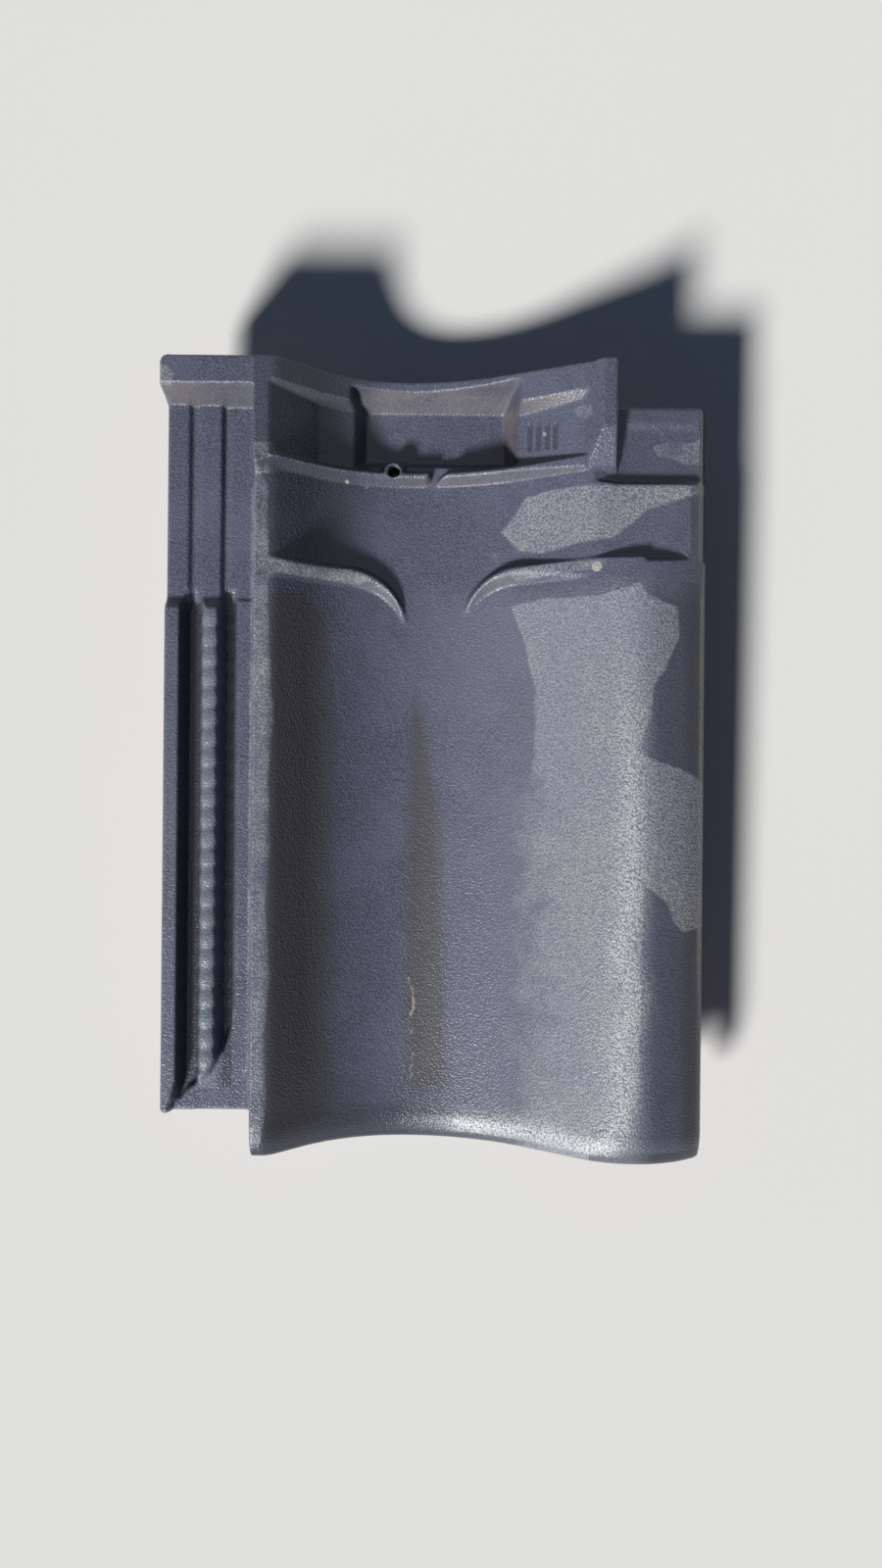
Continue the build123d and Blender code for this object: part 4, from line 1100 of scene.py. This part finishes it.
def new_group(name, inputs, outputs):
    """Empty shader group with its named sockets; returns its tree and its two end nodes."""
    tree = bpy.data.node_groups.new(name, "ShaderNodeTree")
    for label, kind, value in inputs:
        socket = tree.interface.new_socket(name=label, in_out="INPUT", socket_type=kind)
        if value is not None:
            socket.default_value = value
    for label in outputs:
        tree.interface.new_socket(name=label, in_out="OUTPUT", socket_type="NodeSocketFloat")
    return tree, tree.nodes.new("NodeGroupInput"), tree.nodes.new("NodeGroupOutput")


def new_material(name):
    """Material with one principled shader; returns it with its tree and shader."""
    material = bpy.data.materials.new(name)
    material.use_nodes = True
    return material, material.node_tree, material.node_tree.nodes["Principled BSDF"]


def set_socket(tree, socket, value):
    """Link a socket to another one, or give it a number or a colour."""
    if isinstance(value, bpy.types.NodeSocket):
        tree.links.new(value, socket)
    elif isinstance(value, (int, float)):
        socket.default_value = value
    else:
        socket.default_value = (*value, 1.0)


def set_inputs(tree, node, **values):
    """Link or set named inputs of a node; an underscore in a name stands for a space."""
    for label, value in values.items():
        set_socket(tree, node.inputs[label.replace("_", " ")], value)
    return node


def add_node(tree, kind, **values):
    """New shader node with its named inputs linked or set."""
    return set_inputs(tree, tree.nodes.new("ShaderNode" + kind), **values)


def math_node(tree, operation, first, second, clamp=False):
    """Math node fed by sockets or numbers; returns its result."""
    node = add_node(tree, "Math")
    node.operation = operation
    node.use_clamp = clamp
    set_socket(tree, node.inputs[0], first)
    set_socket(tree, node.inputs[1], second)
    return node.outputs[0]


def product(tree, first, *others):
    """Product of sockets and numbers, kept between 0 and 1."""
    for other in others:
        first = math_node(tree, "MULTIPLY", first, other, clamp=True)
    return first


def noise_node(tree, place, scale, detail, roughness, distortion=0.0):
    """Noise over a place; returns its value."""
    numbers = {"Scale": scale, "Detail": detail, "Roughness": roughness, "Distortion": distortion}
    return add_node(tree, "TexNoise", Vector=place, **numbers).outputs["Fac"]


def range_node(tree, value, low, high, to_low=0.0, to_high=1.0, smooth=True):
    """Map a value from one range to another, clamped."""
    ends = {"From_Min": low, "From_Max": high, "To_Min": to_low, "To_Max": to_high}
    node = add_node(tree, "MapRange", Value=value, **ends)
    node.interpolation_type = "SMOOTHSTEP" if smooth else "LINEAR"
    node.clamp = True
    return node.outputs["Result"]


def mix_colors(tree, share, first, second):
    """Mix two colours by a socket or number; returns the colour."""
    node = add_node(tree, "Mix")
    node.data_type = "RGBA"
    for slot, value in ((0, share), (6, first), (7, second)):
        set_socket(tree, node.inputs[slot], value)
    return node.outputs[2]


def add_bump(tree, shader, height, strength, distance):
    """Raise the shader's surface by a height."""
    bump = add_node(tree, "Bump", Height=height, Strength=strength, Distance=distance)
    tree.links.new(bump.outputs["Normal"], shader.inputs["Normal"])


def place_group(tree, group, **values):
    """Put a group into a material and set or link its inputs; returns its outputs."""
    node = add_node(tree, "Group")
    node.node_tree = group
    return set_inputs(tree, node, **values).outputs


def mask_node(tree, name):
    """Stored mask of the mesh."""
    node = add_node(tree, "Attribute")
    node.attribute_name = name
    return node.outputs["Fac"]


def object_place(tree):
    """Place on the object itself."""
    return add_node(tree, "TexCoord").outputs["Object"]


def toned(color, factor):
    """Colour made paler or darker by a factor."""
    return [value * factor for value in color]


def skin_grain_group():
    """Fine orange-peel grain of fired slip and clay, with speckles and clouds."""
    tree, start, end = new_group(
        "skin_grain",
        [("Vector", "NodeSocketVector", None), ("Scale", "NodeSocketFloat", 900.0)],
        ["Height", "Speckle", "Cloud"],
    )
    scaled = add_node(tree, "VectorMath")
    scaled.operation = "SCALE"
    set_inputs(tree, scaled, Vector=start.outputs["Vector"], Scale=start.outputs["Scale"])
    place = scaled.outputs[0]
    fine = noise_node(tree, place, 1.0, 3.0, 0.55)
    coarse = noise_node(tree, place, 0.32, 2.0, 0.5)
    cells = add_node(tree, "TexVoronoi")
    cells.feature = "SMOOTH_F1"
    set_inputs(tree, cells, Vector=place, Scale=0.9, Smoothness=0.6)
    peel = range_node(tree, cells.outputs["Distance"], 0.1, 0.75)
    relief = math_node(tree, "MULTIPLY", peel, 0.5)
    for part, share in ((fine, 0.35), (coarse, 0.45)):
        relief = math_node(tree, "ADD", relief, math_node(tree, "MULTIPLY", part, share))
    cloud = noise_node(tree, start.outputs["Vector"], 24.0, 4.0, 0.6, 0.4)
    speckle = range_node(tree, fine, 0.40, 0.60)
    set_inputs(tree, end, Height=relief, Speckle=speckle, Cloud=range_node(tree, cloud, 0.36, 0.64))
    return tree


def stain_edge_group():
    """Share of a stain from its distance mask, with a wandering edge."""
    tree, start, end = new_group(
        "stain_edge",
        [
            ("Distance", "NodeSocketFloat", 0.0), ("Vector", "NodeSocketVector", None),
            ("Wander", "NodeSocketFloat", 3.0), ("Width", "NodeSocketFloat", 0.8),
        ],
        ["Share"],
    )
    wander = noise_node(tree, start.outputs["Vector"], 70.0, 4.0, 0.6)
    shift = math_node(tree, "SUBTRACT", wander, 0.5)
    shift = math_node(tree, "MULTIPLY", shift, start.outputs["Wander"])
    moved = math_node(tree, "ADD", start.outputs["Distance"], shift)
    share = math_node(tree, "DIVIDE", moved, start.outputs["Width"])
    set_inputs(tree, end, Share=math_node(tree, "ADD", share, 0.5, clamp=True))
    return tree


# Wander and width of each stain's edge, in millimetres
STAIN_EDGES = {"dry": (2.6, 1.2), "dull_and_shade": (6.0, 6.0), "lime": (1.6, 0.5)}

# Curvature per millimetre over which dirt gathers in hollows and over which crests wear
HOLLOW_CURVE = (-0.10, -0.45)
CREST_CURVE = (0.12, 0.50)

# Share at the thinnest and at the thickest place of the clouds or of the specks
PALE_CLOUDS = (0.0, 0.35)
# The painted brown reflection varies over the clouds
BROWN_REFLECTION_CLOUDS = (0.35, 0.85)
DRY_SPECKS = (0.28, 0.84)
# Painted glints, from the thinnest to the thickest speck
PAINTED_GLINT_SPECKS = (0.08, 0.86)
WARM_SHARE = 0.55
SLIP_ROUGHNESS = (0.30, 0.42)
DRY_ROUGHNESS = 0.05
CLAY_ROUGHNESS = (0.78, 0.90)


def engobe_material(sizes, grain_group, edge_group):
    """Satin dark slip with grain, dried patches, dirt in hollows, worn edges, and painted shade,
    highlights, sheen and brown reflections.
    """
    material, tree, shader = new_material("anthracite_engobe")
    place = object_place(tree)
    grain = place_group(tree, grain_group, Vector=place, Scale=1.0 / sizes.grain_size)
    speckle, cloud = grain["Speckle"], grain["Cloud"]
    wear = mask_node(tree, "wear")
    stains = {}
    for name, (wander, width) in STAIN_EDGES.items():
        mask = mask_node(tree, name)
        edge = place_group(tree, edge_group, Distance=mask, Vector=place, Wander=wander, Width=width)
        stains[name] = edge["Share"]

    hollow = product(tree, range_node(tree, wear, *HOLLOW_CURVE), sizes.tint_share)
    brown_reflection = product(tree, mask_node(tree, "brown_reflection"), range_node(tree, cloud, 0.0, 1.0, *BROWN_REFLECTION_CLOUDS))
    film = range_node(tree, speckle, 0.0, 1.0, *DRY_SPECKS, smooth=False)
    painted_glints = range_node(tree, speckle, 0.0, 1.0, *PAINTED_GLINT_SPECKS, smooth=False)
    warm = product(tree, cloud, speckle, WARM_SHARE)
    dust = mix_colors(tree, warm, sizes.dust_color, sizes.warm_dust_color)
    crest = range_node(tree, wear, *CREST_CURVE)
    layers = [
        (range_node(tree, cloud, 0.0, 1.0, *PALE_CLOUDS), toned(sizes.engobe_color, 1.25)),
        # Brown dirt in hollows, and painted brown reflection on walls and edges
        (math_node(tree, "MAXIMUM", hollow, brown_reflection), sizes.brown_dirt_and_reflection_color),
        # Dull film of the streak, and painted shade on the left flank
        (product(tree, stains["dull_and_shade"], sizes.dull_and_shade_share), sizes.dull_and_shade_color),
        # Damp places and painted shade, darkened
        (product(tree, mask_node(tree, "damp_and_shade"), sizes.damp_and_shade_share), toned(sizes.engobe_deep_color, 0.45)),
        # Thin dust, and painted sheen on the pan's right flank
        (product(tree, mask_node(tree, "veil_and_sheen"), sizes.veil_and_sheen_share), sizes.dust_color),
        (product(tree, film, stains["dry"]), dust),
        # Painted glints and highlights along the roll's crest, the nose and the outer edge
        (product(tree, painted_glints, mask_node(tree, "painted_highlight")), sizes.painted_glint_color),
        (product(tree, crest, speckle, sizes.worn_share), toned(sizes.dust_color, 1.15)),
        (product(tree, stains["lime"], sizes.lime_share), sizes.lime_color),
    ]
    color = mix_colors(tree, speckle, sizes.engobe_deep_color, sizes.engobe_color)
    for share, tone in layers:
        color = mix_colors(tree, share, color, tone)
    rough = range_node(tree, speckle, 0.0, 1.0, *SLIP_ROUGHNESS, smooth=False)
    rough = math_node(tree, "ADD", rough, product(tree, stains["dry"], DRY_ROUGHNESS))
    set_inputs(tree, shader, Base_Color=color, Roughness=rough, Specular_IOR_Level=0.38)
    add_bump(tree, shader, grain["Height"], 0.9, sizes.grain_height)
    return material


def clay_material(sizes, grain_group):
    """Bare fired clay of the back, mottled and sandy."""
    material, tree, shader = new_material("fired_clay")
    grain = place_group(tree, grain_group, Vector=object_place(tree), Scale=0.7 / sizes.grain_size)
    color = mix_colors(tree, grain["Cloud"], sizes.clay_color, toned(sizes.clay_color, 1.35))
    color = mix_colors(tree, product(tree, grain["Speckle"], 0.4), color, toned(sizes.clay_color, 0.62))
    rough = range_node(tree, grain["Cloud"], 0.0, 1.0, *CLAY_ROUGHNESS)
    set_inputs(tree, shader, Base_Color=color, Roughness=rough)
    add_bump(tree, shader, grain["Height"], 0.7, sizes.grain_height * 1.3)
    return material


def floor_material(stage):
    """Matt pale floor with a faint mottle."""
    material, tree, shader = new_material("studio_floor")
    mottle = noise_node(tree, object_place(tree), 3.0, 2.0, 0.5)
    color = mix_colors(tree, mottle, stage.floor_color, toned(stage.floor_color, 0.97))
    set_inputs(tree, shader, Base_Color=color, Roughness=0.9, Specular_IOR_Level=0.2)
    return material


# Faces with more corners are flat pieces of wall and are shaded flat
MOST_SMOOTH_CORNERS = 8


class PANTILE_OT_press_tile(bpy.types.Operator):
    """Build the pressed tile in place of its CAD node"""

    bl_idname = "pantile.press_tile"
    bl_label = "Press Tile"

    def execute(self, context):
        sizes = context.scene.pantile
        points, faces, slots, plan, top_count = press_mesh(round(sizes.softness * MM_PER_METRE, 4))
        mesh = bpy.data.meshes.new("pressed_tile")
        mesh.from_pydata(points.tolist(), [], faces)
        mesh.polygons.foreach_set("material_index", slots)
        mesh.polygons.foreach_set("use_smooth", [len(face) <= MOST_SMOOTH_CORNERS for face in faces])
        mesh.update()
        if mesh.validate(verbose=False):
            raise RuntimeError("the tile's mesh had faulty faces")
        grain_group = skin_grain_group()
        mesh.materials.append(engobe_material(sizes, grain_group, stain_edge_group()))
        mesh.materials.append(clay_material(sizes, grain_group))
        for name, values in stain_masks(mesh, plan, top_count).items():
            store_mask(mesh, name, values)
        store_mask(mesh, "wear", wear_mask(mesh))
        tile = bpy.data.objects.new("pressed_tile", mesh)
        context.scene.collection.objects.link(tile)
        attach(tile, "root")
        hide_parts(NODE)
        return {"FINISHED"}


# Camera over the pressing, in millimetres and in pixels of the picture it stands for
CAMERA_Y = -193.0
CAMERA_ROLL = 0.009
FOCAL_PIXELS = 1209.0
PICTURE_HEIGHT_PIXELS = 1600.0
SENSOR_HEIGHT = 36.0

# In metres, like all of the scene
CAMERA_CLIP_START = 0.01
KEY_PLACE = (-2.48, -4.22, 3.30)


class PANTILE_OT_set_stage(bpy.types.Operator):
    """Lay the floor and set the lights and the camera"""

    bl_idname = "pantile.set_stage"
    bl_label = "Set Stage"

    def execute(self, context):
        stage = context.scene.pantile_stage
        self.lay_floor(context.scene, stage)
        self.set_camera(context.scene, stage)
        self.set_key(context.scene, stage)
        self.set_surroundings(context.scene, stage)
        context.scene.view_settings.view_transform = "Standard"
        return {"FINISHED"}

    def lay_floor(self, scene, stage):
        """Level floor under the tile."""
        half = stage.floor_half_width
        corners = [(-half, -half, 0.0), (half, -half, 0.0), (half, half, 0.0), (-half, half, 0.0)]
        mesh = bpy.data.meshes.new("studio_floor")
        mesh.from_pydata(corners, [], [(0, 1, 2, 3)])
        mesh.materials.append(floor_material(stage))
        floor = bpy.data.objects.new("studio_floor", mesh)
        scene.collection.objects.link(floor)
        floor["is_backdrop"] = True

    def set_camera(self, scene, stage):
        """Camera that looks straight down on the pressing, which lies tilted by its nib."""
        height = stage.camera_height * MM_PER_METRE
        eye = Vector(place_in_frame(np.array(0.0), np.array(CAMERA_Y), np.array(height)))
        tilt = Matrix.Rotation(LAY, 3, "X")
        right = tilt @ Vector((1.0, CAMERA_ROLL, 0.0)).normalized()
        up = tilt @ Vector((-CAMERA_ROLL, 1.0, 0.0)).normalized()
        turn = Matrix((right, up, right.cross(up))).transposed().to_4x4()
        data = bpy.data.cameras.new("camera")
        data.sensor_width = SENSOR_HEIGHT
        data.lens = SENSOR_HEIGHT * FOCAL_PIXELS / PICTURE_HEIGHT_PIXELS
        data.clip_start = CAMERA_CLIP_START
        camera = bpy.data.objects.new("camera", data)
        camera.matrix_world = Matrix.Translation(eye) @ turn
        scene.collection.objects.link(camera)
        scene.camera = camera

    def set_key(self, scene, stage):
        """Even soft light from the front left."""
        data = bpy.data.lights.new("key_lamp", "SUN")
        data.angle = stage.key_spread
        data.energy = stage.key_strength
        data.color = stage.key_color
        lamp = bpy.data.objects.new("key_lamp", data)
        lamp.location = KEY_PLACE
        lamp.rotation_mode = "QUATERNION"
        lamp.rotation_quaternion = Vector(KEY_PLACE).to_track_quat("Z", "Y")
        scene.collection.objects.link(lamp)

    def set_surroundings(self, scene, stage):
        """Faint light from all around, and the pale backdrop that the eye and reflections see."""
        world = bpy.data.worlds.new("studio_light")
        scene.world = world
        world.use_nodes = True
        tree = world.node_tree
        fill = tree.nodes["Background"]
        set_inputs(tree, fill, Color=stage.fill_color, Strength=stage.fill_strength)
        backdrop = add_node(tree, "Background", Color=toned(stage.floor_color, 0.95))
        mix = add_node(tree, "MixShader")
        path = add_node(tree, "LightPath").outputs
        seen = math_node(tree, "MAXIMUM", path["Is Camera Ray"], path["Is Glossy Ray"])
        seen = math_node(tree, "MAXIMUM", seen, path["Is Transmission Ray"])
        for slot, value in enumerate((seen, fill.outputs[0], backdrop.outputs[0])):
            tree.links.new(value, mix.inputs[slot])
        tree.links.new(mix.outputs[0], tree.nodes["World Output"].inputs["Surface"])


class PANTILE_PT_panel(bpy.types.Panel):
    """Sidebar panel of the tile's sizes, colours and steps"""

    bl_idname = "PANTILE_PT_panel"
    bl_label = "Clay Pantile"
    bl_space_type = "VIEW_3D"
    bl_region_type = "UI"
    bl_category = "Pantile"

    def draw(self, context):
        scene = context.scene
        steps = ((scene.pantile, PANTILE_OT_press_tile), (scene.pantile_stage, PANTILE_OT_set_stage))
        for settings, step in steps:
            for name in type(settings).__annotations__:
                self.layout.prop(settings, name)
            self.layout.operator(step.bl_idname)


CLASSES = (
    PantileProperties, PantileStageProperties, PANTILE_OT_press_tile, PANTILE_OT_set_stage,
    PANTILE_PT_panel,
)


def register():
    """Add the classes and the scene's settings."""
    for entry in CLASSES:
        bpy.utils.register_class(entry)
    bpy.types.Scene.pantile = bpy.props.PointerProperty(type=PantileProperties)
    bpy.types.Scene.pantile_stage = bpy.props.PointerProperty(type=PantileStageProperties)


def unregister():
    """Take the classes and the scene's settings away again."""
    del bpy.types.Scene.pantile_stage
    del bpy.types.Scene.pantile
    for entry in reversed(CLASSES):
        bpy.utils.unregister_class(entry)


def main():
    """Build the scene."""
    register()
    bpy.ops.pantile.press_tile()
    bpy.ops.pantile.set_stage()


if __name__ == "__main__":
    main()
